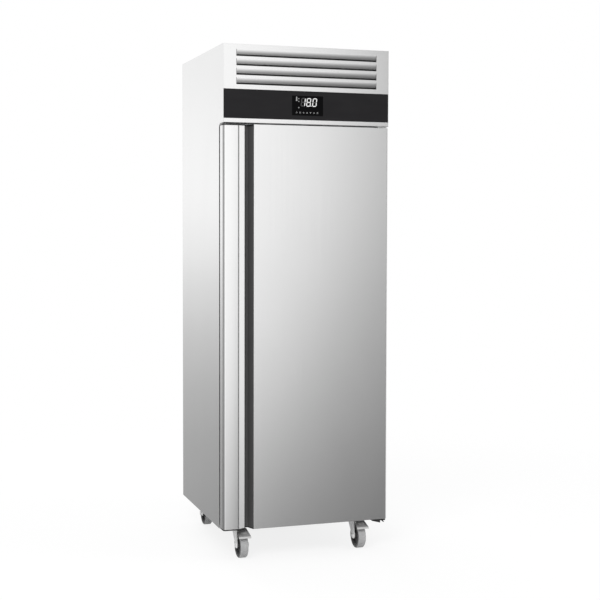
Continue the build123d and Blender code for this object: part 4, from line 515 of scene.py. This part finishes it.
# How far each blade's free edge, and then its slit, reach below those of the cabinet's sheet
BLADE_STRETCH = 0.0025
SLIT_STRETCH = 0.0016
SIDE_MARGIN = 0.001
EDGE_MARGIN = 0.0009
CUT_DISTANCE = 1e-7
BLADE_MARGIN = 1e-5

# The dark filter behind the louvres, which stands in as painted shade inside them
FILTER_HALF = 0.300
FILTER_BOTTOM = 1.845
FILTER_TOP = 1.995
FILTER_FRONT = FRONT + 0.019
FILTER_THICKNESS = 0.002


def rounded_line(points, radii, steps):
    """A line of points whose inner corners are turned into arcs."""
    out = [Vector(points[0])]
    for before, here, after, radius in zip(points, points[1:], points[2:], radii):
        here = Vector(here)
        a, b = (Vector(before) - here).normalized(), (Vector(after) - here).normalized()
        half = a.angle(b) / 2
        reach = radius / tan(half)
        centre = here + (a + b).normalized() * radius / sin(half)
        start, end = here + a * reach - centre, here + b * reach - centre
        sweep = start.angle_signed(end)
        for k in range(steps + 1):
            out.append(centre + Matrix.Rotation(-sweep * k / steps, 2) @ start)
    return out + [Vector(points[-1])]


def offset_line(line, distance):
    """The same line moved sideways by a distance."""
    out = []
    for k, here in enumerate(line):
        along = (line[min(k + 1, len(line) - 1)] - line[max(k - 1, 0)]).normalized()
        out.append(here + Vector((-along.y, along.x)) * distance)
    return out


def add_upright(bm, plan, z0, z1, levels):
    """A closed plan outline carried up in equal steps."""
    rings = [[bm.verts.new((x, y, z0 + (z1 - z0) * k / levels)) for x, y in plan]
             for k in range(levels + 1)]
    bm.faces.new(rings[0])
    bm.faces.new(rings[-1])
    for lower, upper in zip(rings, rings[1:]):
        for k in range(len(plan)):
            j = (k + 1) % len(plan)
            bm.faces.new((lower[k], lower[j], upper[j], upper[k]))


def smooth_by_angle(mesh):
    """Smooth faces with sharp edges where they turn by more than the angle."""
    bm = bmesh.new()
    bm.from_mesh(mesh)
    for face in bm.faces:
        face.smooth = True
    for edge in bm.edges:
        edge.smooth = edge.is_manifold and edge.calc_face_angle(0) < radians(SMOOTH_ANGLE)
    bm.to_mesh(mesh)
    bm.free()


def add_handle_stile():
    """Folded stile at the left of the door, whose return leans in to be pulled by the fingers."""
    low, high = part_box("door_handle_stile")
    left, front = low[0], low[1]
    line = rounded_line([
        (left + STILE_RETURN, front + STILE_DEPTH), (left, front + STILE_DEPTH), (left, front),
        (left + STILE_BEND, front), (left + STILE_LIP, front + STILE_LIP_DEPTH),
    ], [STILE_RETURN_RADIUS, STILE_CORNER, STILE_BEND_RADIUS], ARC_STEPS)
    plan = line + offset_line(line, STEEL)[::-1]

    def stile(bm):
        add_upright(bm, plan, low[2], high[2], STILE_LEVELS)
    mesh = mesh_from("handle_stile", stile)
    smooth_by_angle(mesh)
    add_piece("handle_stile", mesh, "door", steel_upright, ["door_handle_stile"])


def louvre_edges():
    """The upper edge and the free edge of each blade in the cabinet's sheet."""
    tops = [GRILLE_TOP - k * GRILLE_STEP for k in range(LOUVRES)]
    return [(top, top - LOUVRE_HEIGHT + LOUVRE_SLIT) for top in tops]


def stretch_windows(bm, edges):
    """Moves each blade's free edge and the lower edge of its window down."""
    for vert in bm.verts:
        for _, free_edge in edges:
            if abs(vert.co.x) < LOUVRE_HALF + SIDE_MARGIN:
                if abs(vert.co.z - free_edge) < EDGE_MARGIN:
                    vert.co.z -= BLADE_STRETCH
                elif abs(vert.co.z - free_edge + LOUVRE_SLIT) < EDGE_MARGIN:
                    vert.co.z -= BLADE_STRETCH + SLIT_STRETCH


def curve_blades(bm, edges):
    """Cuts each blade into level strips and leans it in along a curve."""
    for high, free_edge in edges:
        for k in range(1, LOUVRE_CUTS):
            level = high + (free_edge - high) * k / LOUVRE_CUTS
            bmesh.ops.bisect_plane(bm, geom=bm.verts[:] + bm.edges[:] + bm.faces[:],
                                   dist=CUT_DISTANCE, plane_co=(0, 0, level), plane_no=(0, 0, 1))
    bm.normal_update()
    for vert in bm.verts:
        for high, free_edge in edges:
            within = free_edge - BLADE_MARGIN < vert.co.z < high - BLADE_MARGIN
            if within and abs(vert.co.x) < LOUVRE_HALF:
                t = (high - vert.co.z) / (high - free_edge)
                side = -1 if vert.normal.y < 0 else 1
                face = BLADE_THICKNESS / 2 * (1 + side)
                vert.co.y = FRONT + face + LOUVRE_DEPTH * t ** LOUVRE_CURVE


def add_fascia():
    """Top front whose pressed louvres lean in along a curve."""
    bm = bmesh.new()
    bm.from_mesh(frame["nodes"]["front_fascia"].data)
    bmesh.ops.remove_doubles(bm, verts=bm.verts, dist=MERGE_DISTANCE)
    edges = louvre_edges()
    stretch_windows(bm, edges)
    curve_blades(bm, [(high, free_edge - BLADE_STRETCH) for high, free_edge in edges])
    bmesh.ops.recalc_face_normals(bm, faces=bm.faces)
    mesh = bpy.data.meshes.new("fascia_sheet")
    bm.to_mesh(mesh)
    bm.free()
    smooth_by_angle(mesh)
    add_piece("fascia_sheet", mesh, "cabinet", steel_level, ["front_fascia"])


def add_louvre_shade_filter():
    """Dark mat behind the louvres, a painted shade that keeps daylight from the rear vents out of
    them.
    """
    outline = [(-FILTER_HALF, FILTER_BOTTOM), (FILTER_HALF, FILTER_BOTTOM),
               (FILTER_HALF, FILTER_TOP), (-FILTER_HALF, FILTER_TOP)]

    def mat(bm):
        add_prism(bm, outline, FILTER_FRONT, FILTER_FRONT + FILTER_THICKNESS)
    add_piece("dust_filter", mesh_from("dust_filter", mat), "cabinet",
              FINISHES["fan_plastic"])


# Display

# The window, and the housing behind it
DISPLAY_HALF = 0.064
DISPLAY_TOP = 1.8195
DISPLAY_BOTTOM = 1.7425
DISPLAY_RADIUS = 0.0015
GLASS_FRONT = FRONT + 0.0002
GLASS_BACK = FRONT + 0.003
HOUSING_BACK = FRONT + 0.023
HOUSING_INSET = 0.008
HOUSING_RADIUS = 0.003

# The lit temperature
DIGIT_LEFTS = (-0.0270, -0.0045, 0.0200)
DIGIT_BOTTOM = 1.7800
DIGIT_WIDTH = 0.0145
DIGIT_HEIGHT = 0.0295
DIGIT_SLANT = tan(radians(7))
SEGMENT_HALF = 0.0017
SEGMENT_GAP = SEGMENT_HALF * 0.22
# Left, right, bottom and top of the decimal point, and the radius of its corners
POINT = (0.0125, 0.0158, DIGIT_BOTTOM - 0.0012, DIGIT_BOTTOM + 0.0022, 0.001)

# The faint marks at the left. The stem has its left, right, bottom and top, and a radius.
STEM = (-0.0472, -0.0428, 1.8030, 1.8155, 0.0015)
BULB_X, BULB_Z, BULB_HALF = -0.0450, 1.8015, 0.0016
MARKS_X = -0.0362
SNOW_ROWS = (1.8080, 1.7975)
SNOW_SIZE = 0.0025
SNOW_LINE = 0.0009
DOT_Z = 1.7735
DOT_HALF = 0.0011

# The row of printed touch keys
KEYS_LEFT = -0.0450
KEYS_STEP = 0.0143
KEYS_Z = 1.7540
KEY_SIZE = 0.0034
KEY_LINE = 0.0005
KEY_FINE_LINE = 0.0004
MENU_STEP = 0.0022

# The ends of each segment, as shares of the digit's width and height
SEGMENTS = {
    "top": ((0, 1), (1, 1)), "middle": ((0, 0.5), (1, 0.5)), "bottom": ((0, 0), (1, 0)),
    "upper left": ((0, 0.5), (0, 1)), "upper right": ((1, 0.5), (1, 1)),
    "lower left": ((0, 0), (0, 0.5)), "lower right": ((1, 0), (1, 0.5)),
}
DIGITS = {
    "one": ("upper right", "lower right"),
    "eight": tuple(SEGMENTS),
    "zero": tuple(name for name in SEGMENTS if name != "middle"),
    "unlit in one": ("top", "middle", "bottom", "upper left", "lower left"),
    "unlit in zero": ("middle",),
}


def bar(x0, z0, x1, z1, half):
    """A line between two points with pointed ends."""
    along = Vector((x1 - x0, z1 - z0)).normalized()
    side = Vector((-along.y, along.x)) * half
    a = Vector((x0, z0)) + along * half
    b = Vector((x1, z1)) - along * half
    outline = [Vector((x0, z0)), a + side, b + side, Vector((x1, z1)), b - side, a - side]
    return [(p.x, p.y) for p in outline]


def add_mark(bm, outline):
    """A flat mark in front of the glass."""
    add_prism(bm, outline, FRONT, GLASS_FRONT)


def add_line(bm, x0, z0, x1, z1, half=KEY_LINE):
    """A flat line with pointed ends."""
    add_mark(bm, bar(x0, z0, x1, z1, half))


def add_star(bm, x, z, size, half, first_angle):
    """Three crossed lines."""
    for turn in range(3):
        angle = radians(60 * turn + first_angle)
        dx, dz = size * cos(angle), size * sin(angle)
        add_line(bm, x - dx, z - dz, x + dx, z + dz, half)


def add_ring(bm, x, z, radius, half, steps=20, start=0, turn=360):
    """A flat ring, or part of one."""
    for step in range(steps):
        a0, a1 = (radians(start + turn * s / steps) for s in (step, step + 1))
        inner, outer = radius - half, radius + half
        corners = ((inner, a0), (outer, a0), (outer, a1), (inner, a1))
        add_mark(bm, [(x + r * cos(a), z + r * sin(a)) for r, a in corners])


def add_digit(bm, digit, left):
    """The segments of one digit, slanted."""
    bottom = DIGIT_BOTTOM
    for name in DIGITS[digit]:
        (ax, az), (bx, bz) = SEGMENTS[name]
        start = Vector((left + ax * DIGIT_WIDTH, bottom + az * DIGIT_HEIGHT))
        end = Vector((left + bx * DIGIT_WIDTH, bottom + bz * DIGIT_HEIGHT))
        along = (end - start).normalized() * SEGMENT_GAP
        outline = bar(*(start + along), *(end - along), SEGMENT_HALF)
        add_mark(bm, [(x + (z - bottom) * DIGIT_SLANT, z) for x, z in outline])


def display_window(bm):
    """The glass and the housing behind it."""
    half, low, high = DISPLAY_HALF, DISPLAY_BOTTOM, DISPLAY_TOP
    inset = HOUSING_INSET
    add_prism(bm, rounded_rectangle(-half, half, low, high, DISPLAY_RADIUS),
              GLASS_FRONT, GLASS_BACK)
    add_prism(bm, rounded_rectangle(-half + inset, half - inset, low + inset, high - inset,
                                    HOUSING_RADIUS), GLASS_BACK, HOUSING_BACK)


def display_digits(bm):
    """The lit temperature."""
    for digit, left in zip(("one", "eight", "zero"), DIGIT_LEFTS):
        add_digit(bm, digit, left)
    add_mark(bm, rounded_rectangle(*POINT))


def display_unlit(bm):
    """The segments that the temperature leaves dark, drawn with a faint painted glow."""
    add_digit(bm, "unlit in one", DIGIT_LEFTS[0])
    add_digit(bm, "unlit in zero", DIGIT_LEFTS[2])


def display_marks(bm):
    """A thermometer, two snow marks and a dot at the left."""
    add_mark(bm, rounded_rectangle(*STEM))
    add_ring(bm, BULB_X, BULB_Z, BULB_HALF, BULB_HALF)
    for z in SNOW_ROWS:
        add_star(bm, MARKS_X, z, SNOW_SIZE, SNOW_LINE, first_angle=30)
    add_ring(bm, MARKS_X, DOT_Z, DOT_HALF, DOT_HALF)


def display_keys(bm):
    """Seven printed touch keys in a row, drawn in shares of a key's size; their print is given a
    painted glow.
    """
    power, menu, frost, up, down, lamp, clock = (KEYS_LEFT + KEYS_STEP * k for k in range(7))
    z, size = KEYS_Z, KEY_SIZE
    add_ring(bm, power, z, size * 0.8, KEY_LINE, steps=16, start=120, turn=300)
    add_line(bm, power, z, power, z + size * 1.3)
    for row in (-1, 0, 1):
        level = z + row * MENU_STEP
        add_line(bm, menu - size, level, menu + size, level)
    add_star(bm, frost, z, size, KEY_LINE, first_angle=0)
    add_mark(bm, [(up - size, z - size * 0.7), (up + size, z - size * 0.7), (up, z + size)])
    add_mark(bm, [(down, z - size), (down + size, z + size * 0.7), (down - size, z + size * 0.7)])
    add_ring(bm, lamp, z, size * 0.45, KEY_LINE, steps=12)
    for turn in range(8):
        angle = radians(45 * turn)
        dx, dz = size * cos(angle), size * sin(angle)
        add_line(bm, lamp + dx * 0.75, z + dz * 0.75, lamp + dx * 1.2, z + dz * 1.2,
                 KEY_FINE_LINE)
    add_ring(bm, clock, z, size * 0.85, KEY_LINE, steps=16)
    add_line(bm, clock, z, clock, z + size * 0.7, KEY_FINE_LINE)
    add_line(bm, clock, z, clock + size * 0.5, z, KEY_FINE_LINE)


def add_display():
    """The window, and the lit and printed marks in front of it."""
    add_piece("display_window", mesh_from("display_window", display_window), "cabinet",
              FINISHES["display"], ["display_module"])
    marks = (
        ("display_digits", display_digits, lit_segment("lit_digit", 1.0, 0.95)),
        ("display_marks", display_marks, lit_segment("lit_mark", 0.45, 0.8)),
        # The unlit segments and the printed keys glow: painted light, as neither is lit
        ("display_unlit", display_unlit, lit_segment("unlit_segment", 0.05, 0.8)),
        ("display_keys", display_keys, lit_segment("key_print", 0.36, 0.8)),
    )
    for name, build, finish in marks:
        add_piece(name, mesh_from(name, build), "cabinet", finish)


# Patterns that repeat


def new_pattern(name, sizes, objects=()):
    """An empty Geometry Nodes tree with named sizes, and its signals."""
    tree = bpy.data.node_groups.new(name, "GeometryNodeTree")

    def add_input(label, kind, in_out="INPUT"):
        tree.interface.new_socket(label, in_out=in_out, socket_type="NodeSocket" + kind)
    add_input("Geometry", "Geometry")
    for label, value in sizes.items():
        add_input(label, "Int" if isinstance(value, int) else "Float")
    for label in objects:
        add_input(label, "Object")
    add_input("Finish", "Material")
    add_input("Geometry", "Geometry", "OUTPUT")
    nodes = Nodes(tree)
    return nodes, nodes.node("NodeGroupInput")


def end_pattern(nodes, start, geometry):
    """Real faces with their finish."""
    real = nodes.node("GeometryNodeRealizeInstances", inputs={0: geometry})
    dressed = nodes.node("GeometryNodeSetMaterial",
                         inputs={0: real, "Material": start.out("Finish")})
    nodes.node("NodeGroupOutput", inputs={0: dressed})
    return nodes.tree


def grow(name, tree, points, values, finish, body, replaced=()):
    """Runs a pattern on points and keeps the plain mesh on its body."""
    seed = bpy.data.meshes.new(name + "_points")
    seed.from_pydata(points, [], [])
    grower = bpy.data.objects.new(name + "_grower", seed)
    bpy.context.scene.collection.objects.link(grower)
    modifier = grower.modifiers.new("pattern", "NODES")
    modifier.node_group = tree
    named = {item.name: item.identifier for item in tree.interface.items_tree
             if item.in_out == "INPUT"}
    for label, value in {**values, "Finish": finish}.items():
        modifier[named[label]] = value
    graph = bpy.context.evaluated_depsgraph_get()
    mesh = bpy.data.meshes.new_from_object(grower.evaluated_get(graph), depsgraph=graph)
    mesh.name = name
    grower.modifiers.remove(modifier)
    bpy.data.objects.remove(grower)
    bpy.data.meshes.remove(seed)
    add_piece(name, mesh, body, finish, replaced)


SHELF_SIZES = {"Width": 0.53, "Depth": 0.545, "Rod": 0.008, "Corner": 0.012, "Wire": 0.0028,
               "Wires": 23, "Bar": 0.005, "Bar inset": 0.15}
ROD_SIDES, WIRE_SIDES, BAR_SIDES = 14, 8, 10
CORNER_STEPS = 7
# How far the wires' ends stop short of the shelf's edge, as a share of the rod
WIRE_END = 0.35


def shelf_pattern():
    """A wire shelf: bent frame rod, wires from front to back and two bars under them."""
    n, start = new_pattern("wire_shelf", SHELF_SIZES)
    width, depth, rod, corner, wire, count, rail, bar_inset = (start.out(k) for k in SHELF_SIZES)

    def tube(curve, diameter, sides):
        ring = n.node("GeometryNodeCurvePrimitiveCircle",
                      inputs={"Resolution": sides, "Radius": diameter * 0.5})
        return n.node("GeometryNodeCurveToMesh",
                      inputs={"Curve": curve, "Profile Curve": ring, "Fill Caps": True})

    def point(x=0.0, y=0.0, z=0.0):
        return n.node("ShaderNodeCombineXYZ", inputs={0: x, 1: y, 2: z})

    def line(begin, end):
        return n.node("GeometryNodeCurvePrimitiveLine", inputs={"Start": begin, "End": end})

    def repeated(curve, number, first, step):
        """The same curve at equal steps."""
        row = n.node("GeometryNodeMeshLine", {"mode": "OFFSET"},
                     {"Count": number, "Start Location": first, "Offset": step})
        copies = n.node("GeometryNodeInstanceOnPoints", inputs={"Points": row, "Instance": curve})
        return n.node("GeometryNodeRealizeInstances", inputs={0: copies})

    outline = n.node("GeometryNodeCurvePrimitiveQuadrilateral",
                     inputs={"Width": width - rod, "Height": depth - rod})
    bent = n.node("GeometryNodeFilletCurve", {"mode": "POLY"},
                  {"Curve": outline, "Count": CORNER_STEPS, "Radius": corner})
    frame_rod = tube(bent, rod, ROD_SIDES)

    half = depth * 0.5 - rod * WIRE_END
    pitch = (width - rod) / (count + 1)
    top = rod * 0.5 - wire * 0.5
    along = line(point(0.0, 0.0 - half), point(0.0, half))
    wires = repeated(along, count, point(pitch - (width - rod) * 0.5, 0.0, top), point(pitch))
    wires = tube(wires, wire, WIRE_SIDES)

    half_across = width * 0.5 - rod * 0.5
    inset = depth * 0.5 - bar_inset
    across = line(point(0.0 - half_across), point(half_across))
    bars = repeated(across, 2, point(0.0, 0.0 - inset, top - wire * 0.5 - rail * 0.5),
                    point(0.0, inset * 2.0))
    bars = tube(bars, rail, BAR_SIDES)

    joined = n.node("GeometryNodeJoinGeometry", inputs={0: frame_rod})
    for extra in (wires, bars):
        n.tree.links.new(extra.socket, joined.socket.node.inputs[0])
    smooth = n.node("GeometryNodeSetShadeSmooth", inputs={0: joined})
    placed = n.node("GeometryNodeInstanceOnPoints",
                    inputs={"Points": start.out("Geometry"), "Instance": smooth})
    return end_pattern(n, start, placed)


def add_shelves():
    """One wire shelf in the place of each packed one."""
    tree = shelf_pattern()
    for level in SHELVES:
        low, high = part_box(f"wire_shelf_{level}")
        middle = ((low[0] + high[0]) / 2, (low[1] + high[1]) / 2,
                  low[2] + SHELF_SIZES["Rod"] / 2)
        values = dict(SHELF_SIZES, Width=high[0] - low[0], Depth=high[1] - low[1])
        grow(f"shelf_wires_{level}", tree, [middle], values, FINISHES["coated_wire"],
             f"shelf_{level}", [f"wire_shelf_{level}"])


# Fasteners

# The screw's head and its cross recess, and the bolt's head on its washer
CROSS_REACH, CROSS_ARM = 0.0023, 0.00045
SCREW_RADIUS = 0.0038
SCREW_TOP = 0.0003
SCREW_SHOULDER = 0.92
SCREW_FIRST_ANGLE = 75
CROSS_FLOOR = 0.00003
WASHER_RADIUS, WASHER_TOP = 0.0085, 0.0012
BOLT_RADIUS, BOLT_SIDE = 0.0062, 0.0044
BOLT_TOP_RADIUS, BOLT_TOP = 0.0052, 0.0052
WASHER_SIDES = 20
# How far a head may be turned about its axis, in radians
FULL_TURN = 6.283

# Where the fasteners sit
PANEL_SCREW_X = HALF_WIDTH - 0.0075
PANEL_SCREW_LOW, PANEL_SCREW_HIGH = 0.142, 1.715
PANEL_SCREW_STEPS = 6
VENT_SIDE_ROWS = (1.746, 1.87, 1.995)
VENT_MIDDLE_X = 0.115
VENT_MIDDLE_ROWS = (1.7205, 1.997)
LID_SCREW_X = (-0.325, 0.0, 0.325)
LID_SCREW_Y = (-0.305, 0.335)
DUCT_SIDE_INSET = 0.012
DUCT_FRONT_INSET = 0.06
DUCT_BACK_INSET = 0.02
CASTER_PLATE_UNDER = 0.122
SWIVEL_Y = (-0.237, 0.260)
CASTER_BOLT_X = 0.035
CASTER_BOLT_Y = 0.030


def lathe(bm, profile, sides):
    """Turns a profile of radius and height round Z."""
    rings = []
    for radius, height in profile:
        angles = [2 * pi * k / sides for k in range(sides)] if radius else [0.0]
        rings.append([bm.verts.new((radius * cos(a), radius * sin(a), height)) for a in angles])
    for lower, upper in zip(rings, rings[1:]):
        for k in range(sides):
            j = (k + 1) % sides
            ring = [lower[k % len(lower)], lower[j % len(lower)],
                    upper[j % len(upper)], upper[k % len(upper)]]
            corners = list(dict.fromkeys(ring))
            if len(corners) > 2:
                bm.faces.new(corners)


def cross_head(bm):
    """Flat screw head with a cross recess."""
    reach, arm = CROSS_REACH, CROSS_ARM
    outline = [(arm, reach), (-arm, reach), (-arm, arm), (-reach, arm), (-reach, -arm),
               (-arm, -arm), (-arm, -reach), (arm, -reach), (arm, -arm), (reach, -arm),
               (reach, arm), (arm, arm)]
    count = len(outline)
    angles = [radians(SCREW_FIRST_ANGLE + 360 / count * k) for k in range(count)]
    rim = [(SCREW_RADIUS * cos(a), SCREW_RADIUS * sin(a)) for a in angles]
    shrunk = [(x * SCREW_SHOULDER, y * SCREW_SHOULDER) for x, y in rim]

    def ring(points, height):
        return [bm.verts.new((x, y, height)) for x, y in points]
    upper = ring(outline, SCREW_TOP)
    lower = ring(outline, CROSS_FLOOR)
    shoulder = ring(shrunk, SCREW_TOP)
    foot = ring(rim, 0.0)
    for k in range(count):
        j = (k + 1) % count
        bm.faces.new((upper[k], upper[j], lower[j], lower[k]))
        bm.faces.new((shoulder[k], shoulder[j], upper[j], upper[k]))
        bm.faces.new((foot[k], foot[j], shoulder[j], shoulder[k]))
    bm.faces.new(lower)


def hex_head(bm):
    """Bolt head on its washer."""
    lathe(bm, [(WASHER_RADIUS, 0.0), (WASHER_RADIUS, WASHER_TOP), (BOLT_RADIUS, WASHER_TOP)],
          WASHER_SIDES)
    lathe(bm, [(BOLT_RADIUS, WASHER_TOP), (BOLT_RADIUS, BOLT_SIDE), (BOLT_TOP_RADIUS, BOLT_TOP),
               (0.0, BOLT_TOP)], 6)


def head_pattern():
    """A head on each point, turned at random about its axis and then to face its sheet."""
    n, start = new_pattern("fastener_row", {"Tilt X": 0.0, "Tilt Y": 0.0, "Seed": 4}, ["Head"])
    head = n.node("GeometryNodeObjectInfo", {"transform_space": "ORIGINAL"},
                  {"Object": start.out("Head")}, output="Geometry")
    turn = n.node("FunctionNodeRandomValue", {"data_type": "FLOAT"},
                  {2: 0.0, 3: FULL_TURN, "Seed": start.out("Seed")}, output=1)
    spin = n.node("ShaderNodeCombineXYZ", inputs={2: turn})
    heads = n.node("GeometryNodeInstanceOnPoints", inputs={
        "Points": start.out("Geometry"), "Instance": head, "Rotation": spin})
    facing = n.node("ShaderNodeCombineXYZ", inputs={0: start.out("Tilt X"), 1: start.out("Tilt Y")})
    turned = n.node("GeometryNodeRotateInstances", inputs={
        "Instances": heads, "Rotation": facing, "Local Space": False,
        "Pivot Point": n.node("GeometryNodeInputPosition")})
    return end_pattern(n, start, turned)


def back_screw_places():
    """Down both sides of the back panel, then round the vent panel over it."""
    step = (PANEL_SCREW_HIGH - PANEL_SCREW_LOW) / PANEL_SCREW_STEPS
    rows = [PANEL_SCREW_LOW + k * step for k in range(PANEL_SCREW_STEPS + 1)]
    groups = ((PANEL_SCREW_X, rows), (PANEL_SCREW_X, VENT_SIDE_ROWS),
              (VENT_MIDDLE_X, VENT_MIDDLE_ROWS))
    return [(x, BACK, z) for half, heights in groups for x in (-half, half) for z in heights]


def add_fasteners():
    """Screws in the back, the lid and the duct, and bolts through the caster plates."""
    heads = {name: bpy.data.objects.new(name, mesh_from(name, build))
             for name, build in (("cross_screw", cross_head), ("hex_bolt", hex_head))}
    low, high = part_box("evaporator_cover")
    lid = [(x, y, TOP) for x in LID_SCREW_X for y in LID_SCREW_Y]
    plates = [(side * CASTER_X + dx, y + dy, CASTER_PLATE_UNDER)
              for side in (-1, 1) for y in SWIVEL_Y
              for dx in (-CASTER_BOLT_X, CASTER_BOLT_X) for dy in (-CASTER_BOLT_Y, CASTER_BOLT_Y)]
    duct = [(x, y, low[2]) for x in (low[0] + DUCT_SIDE_INSET, high[0] - DUCT_SIDE_INSET)
            for y in (low[1] + DUCT_FRONT_INSET, high[1] - DUCT_BACK_INSET)]
    rows = (
        ("rear_screws", "cross_screw", back_screw_places(), -pi / 2, 3),
        ("lid_screws", "cross_screw", lid, 0.0, 5),
        ("caster_bolts", "hex_bolt", plates, pi, 8),
        ("duct_screws", "cross_screw", duct, pi, 9),
    )
    tree = head_pattern()
    for name, head, points, tilt, seed in rows:
        values = {"Tilt X": tilt, "Seed": seed, "Head": heads[head]}
        grow(name, tree, points, values, zinc, "cabinet")
    for head in heads.values():
        bpy.data.objects.remove(head)


# Studio

# Direction round the object in degrees, 0 in front and 90 to the right, and how bright the
# screen there is
SCREENS = [
    (-180, 0.92), (-161, 0.92), (-152, 0.26), (-140, 0.46), (-90, 0.44), (-77, 0.18), (-58, 0.13),
    (-42, 0.95), (10, 1.0), (18.4, 0.95), (23.8, 0.29), (31, 0.22), (37, 0.17), (47, 0.20),
    (53, 0.70), (60, 0.90), (73, 0.91), (88, 0.72), (125, 0.74), (180, 0.92),
]
# Sine of the height above the horizon, and how bright the screens are there
SIDE_HEIGHTS = [
    (-1.0, 0.62), (-0.70, 0.50), (-0.40, 0.36), (-0.26, 0.36), (-0.18, 0.41), (-0.14, 0.47),
    (-0.10, 0.57), (-0.06, 0.71), (-0.02, 0.88), (0.02, 0.96), (0.07, 0.94), (0.12, 0.89),
    (1.0, 0.87),
]
FRONT_HEIGHTS = [
    (-1.0, 0.60), (-0.85, 0.50), (-0.55, 0.20), (-0.30, 0.36), (-0.20, 0.67), (-0.12, 0.90),
    (-0.04, 0.97), (1.0, 0.97),
]
SCREEN_LEVEL = 1.25
# Degrees that the front screens move round for each unit of drop under the horizon, and the
# heights between which they do
SCREEN_SLANT = 23.0
SLANT_START = 0.02
SLANT_LIMIT = 0.26
# Degrees from the front where the side heights begin to hold, and where they hold alone
BEHIND = (95, 140)
OVERHEAD = (0.35, 0.8)
OVERHEAD_LEVEL = 0.9
ROOM_LEVEL = 0.62
# Name, place, width and height, and power in watts
LAMPS = [
    ("key_lamp", (-2.2, -3.6, 3.2), (2.4, 1.8), 120.0),
    ("fill_lamp", (3.4, -2.2, 2.2), (2.0, 2.4), 40.0),
    ("back_lamp", (-0.6, 3.8, 2.8), (2.6, 1.8), 70.0),
]
LAMP_TARGET = (0, 0, 0.9)
FLOOR_RADII = (0.0, 0.8, 1.6, 3.2)
FLOOR_SIDES = 72
FLOOR_FADE = (1.1, 3.0)
FLOOR_GLOW = 0.82
# The camera's place, and its tilt, roll and turn in degrees
CAMERA_PLACE = (-1.549, -4.988, 1.332)
CAMERA_ANGLES = (90 - 2.45, -0.15, -18.65)
CAMERA_LENS, CAMERA_SENSOR = 74.72, 36
CAMERA_SHIFT_X, CAMERA_SHIFT_Y = -0.0188, -0.043


def add_to_scene(name, data):
    """A lamp, floor or camera that isn't a piece of the object."""
    thing = bpy.data.objects.new(name, data)
    bpy.context.scene.collection.objects.link(thing)
    return thing


def add_world():
    """White room whose soft screens show in the steel."""
    world = bpy.data.worlds.new("studio")
    world.use_nodes = True
    world.cycles.sampling_method = "NONE"
    bpy.context.scene.world = world
    w = Nodes(world.node_tree)

    def levels(place, low, high, stops):
        """The brightness at a place among stops that lie between two limits."""
        span = high - low
        return w.node("ShaderNodeValToRGB",
                      {"stops": [((at - low) / span, level) for at, level in stops]},
                      {0: (place - low) / span})
    path = w.node("ShaderNodeLightPath", output="Is Camera Ray")
    x, y, z = w.axes(w.node("ShaderNodeTexCoord", output="Generated"))
    azimuth = w.calculate("ARCTAN2", x, 0.0 - y) * (180 / pi)
    drop = (SLANT_START - z).at_least(0.0).at_most(SLANT_LIMIT)
    screens = levels((azimuth + drop * SCREEN_SLANT).at_most(180.0), -180, 180, SCREENS)
    side, front = (levels(z, -1, 1, stops) for stops in (SIDE_HEIGHTS, FRONT_HEIGHTS))
    behind = w.ramp(abs(azimuth), *BEHIND)
    heights = side * behind + front * (1.0 - behind)
    overhead = w.ramp(z, *OVERHEAD)
    around = screens * (1.0 - overhead) + overhead * OVERHEAD_LEVEL
    shown = around * heights * SCREEN_LEVEL
    direct = path.at_least(path.out("Is Transmission Ray"))
    glossy = path.out("Is Glossy Ray")
    strength = direct + (1.0 - direct) * (glossy * shown + (1.0 - glossy) * ROOM_LEVEL)
    light = w.node("ShaderNodeBackground", inputs={0: rgba(1.0), 1: strength})
    w.node("ShaderNodeOutputWorld", inputs={0: light})


def add_lamps():
    """Plain soft lamps that don't show in the steel."""
    for name, place, size, power in LAMPS:
        data = bpy.data.lights.new(name, "AREA")
        data.shape = "RECTANGLE"
        data.size, data.size_y = size
        data.energy = power
        lamp = add_to_scene(name, data)
        lamp.location = place
        towards = Vector(LAMP_TARGET) - lamp.location
        lamp.rotation_euler = towards.to_track_quat("-Z", "Y").to_euler()
        lamp.visible_glossy = False


def floor_paper():
    """White paper that keeps the shadow and fades out towards its edge."""
    s = Surface("floor_paper")
    paper = s.node("ShaderNodeBsdfDiffuse", inputs={
        "Color": s.between(0.93, 0.95, s.grain(0.002, detail=2.0))})
    white = s.node("ShaderNodeEmission", inputs={"Color": rgba(1.0), "Strength": 1.0})
    seen = s.node("ShaderNodeLightPath", output="Is Camera Ray")
    soft = s.node("ShaderNodeMixShader", inputs={0: seen * FLOOR_GLOW, 1: paper, 2: white})
    clear = s.node("ShaderNodeBsdfTransparent")
    fade = s.ramp(s.diagonal(s.x, s.y), *FLOOR_FADE)
    edge = s.node("ShaderNodeMixShader", inputs={0: fade, 1: soft, 2: clear})
    s.node("ShaderNodeOutputMaterial", inputs={0: edge})
    return s.material


def add_floor():
    """A wide disc, closed to its middle, that faces up."""
    def disc(bm):
        lathe(bm, [(radius, 0.0) for radius in FLOOR_RADII], FLOOR_SIDES)
    floor = add_to_scene("floor", mesh_from("floor", disc))
    for face in floor.data.polygons:
        if face.normal.z < 0:
            face.flip()
    floor.visible_glossy = False
    floor.data.materials.append(floor_paper())


def add_camera():
    """The photograph's view."""
    data = bpy.data.cameras.new("camera")
    data.lens = CAMERA_LENS
    data.sensor_width = CAMERA_SENSOR
    data.shift_x = CAMERA_SHIFT_X
    data.shift_y = CAMERA_SHIFT_Y
    camera = add_to_scene("camera", data)
    camera.location = CAMERA_PLACE
    camera.rotation_euler = [radians(angle) for angle in CAMERA_ANGLES]
    bpy.context.scene.camera = camera


bpy.context.scene.view_settings.view_transform = "Standard"
dress_frame()
add_handle_stile()
add_fascia()
add_louvre_shade_filter()
add_display()
add_shelves()
add_fasteners()
add_world()
add_lamps()
add_floor()
add_camera()
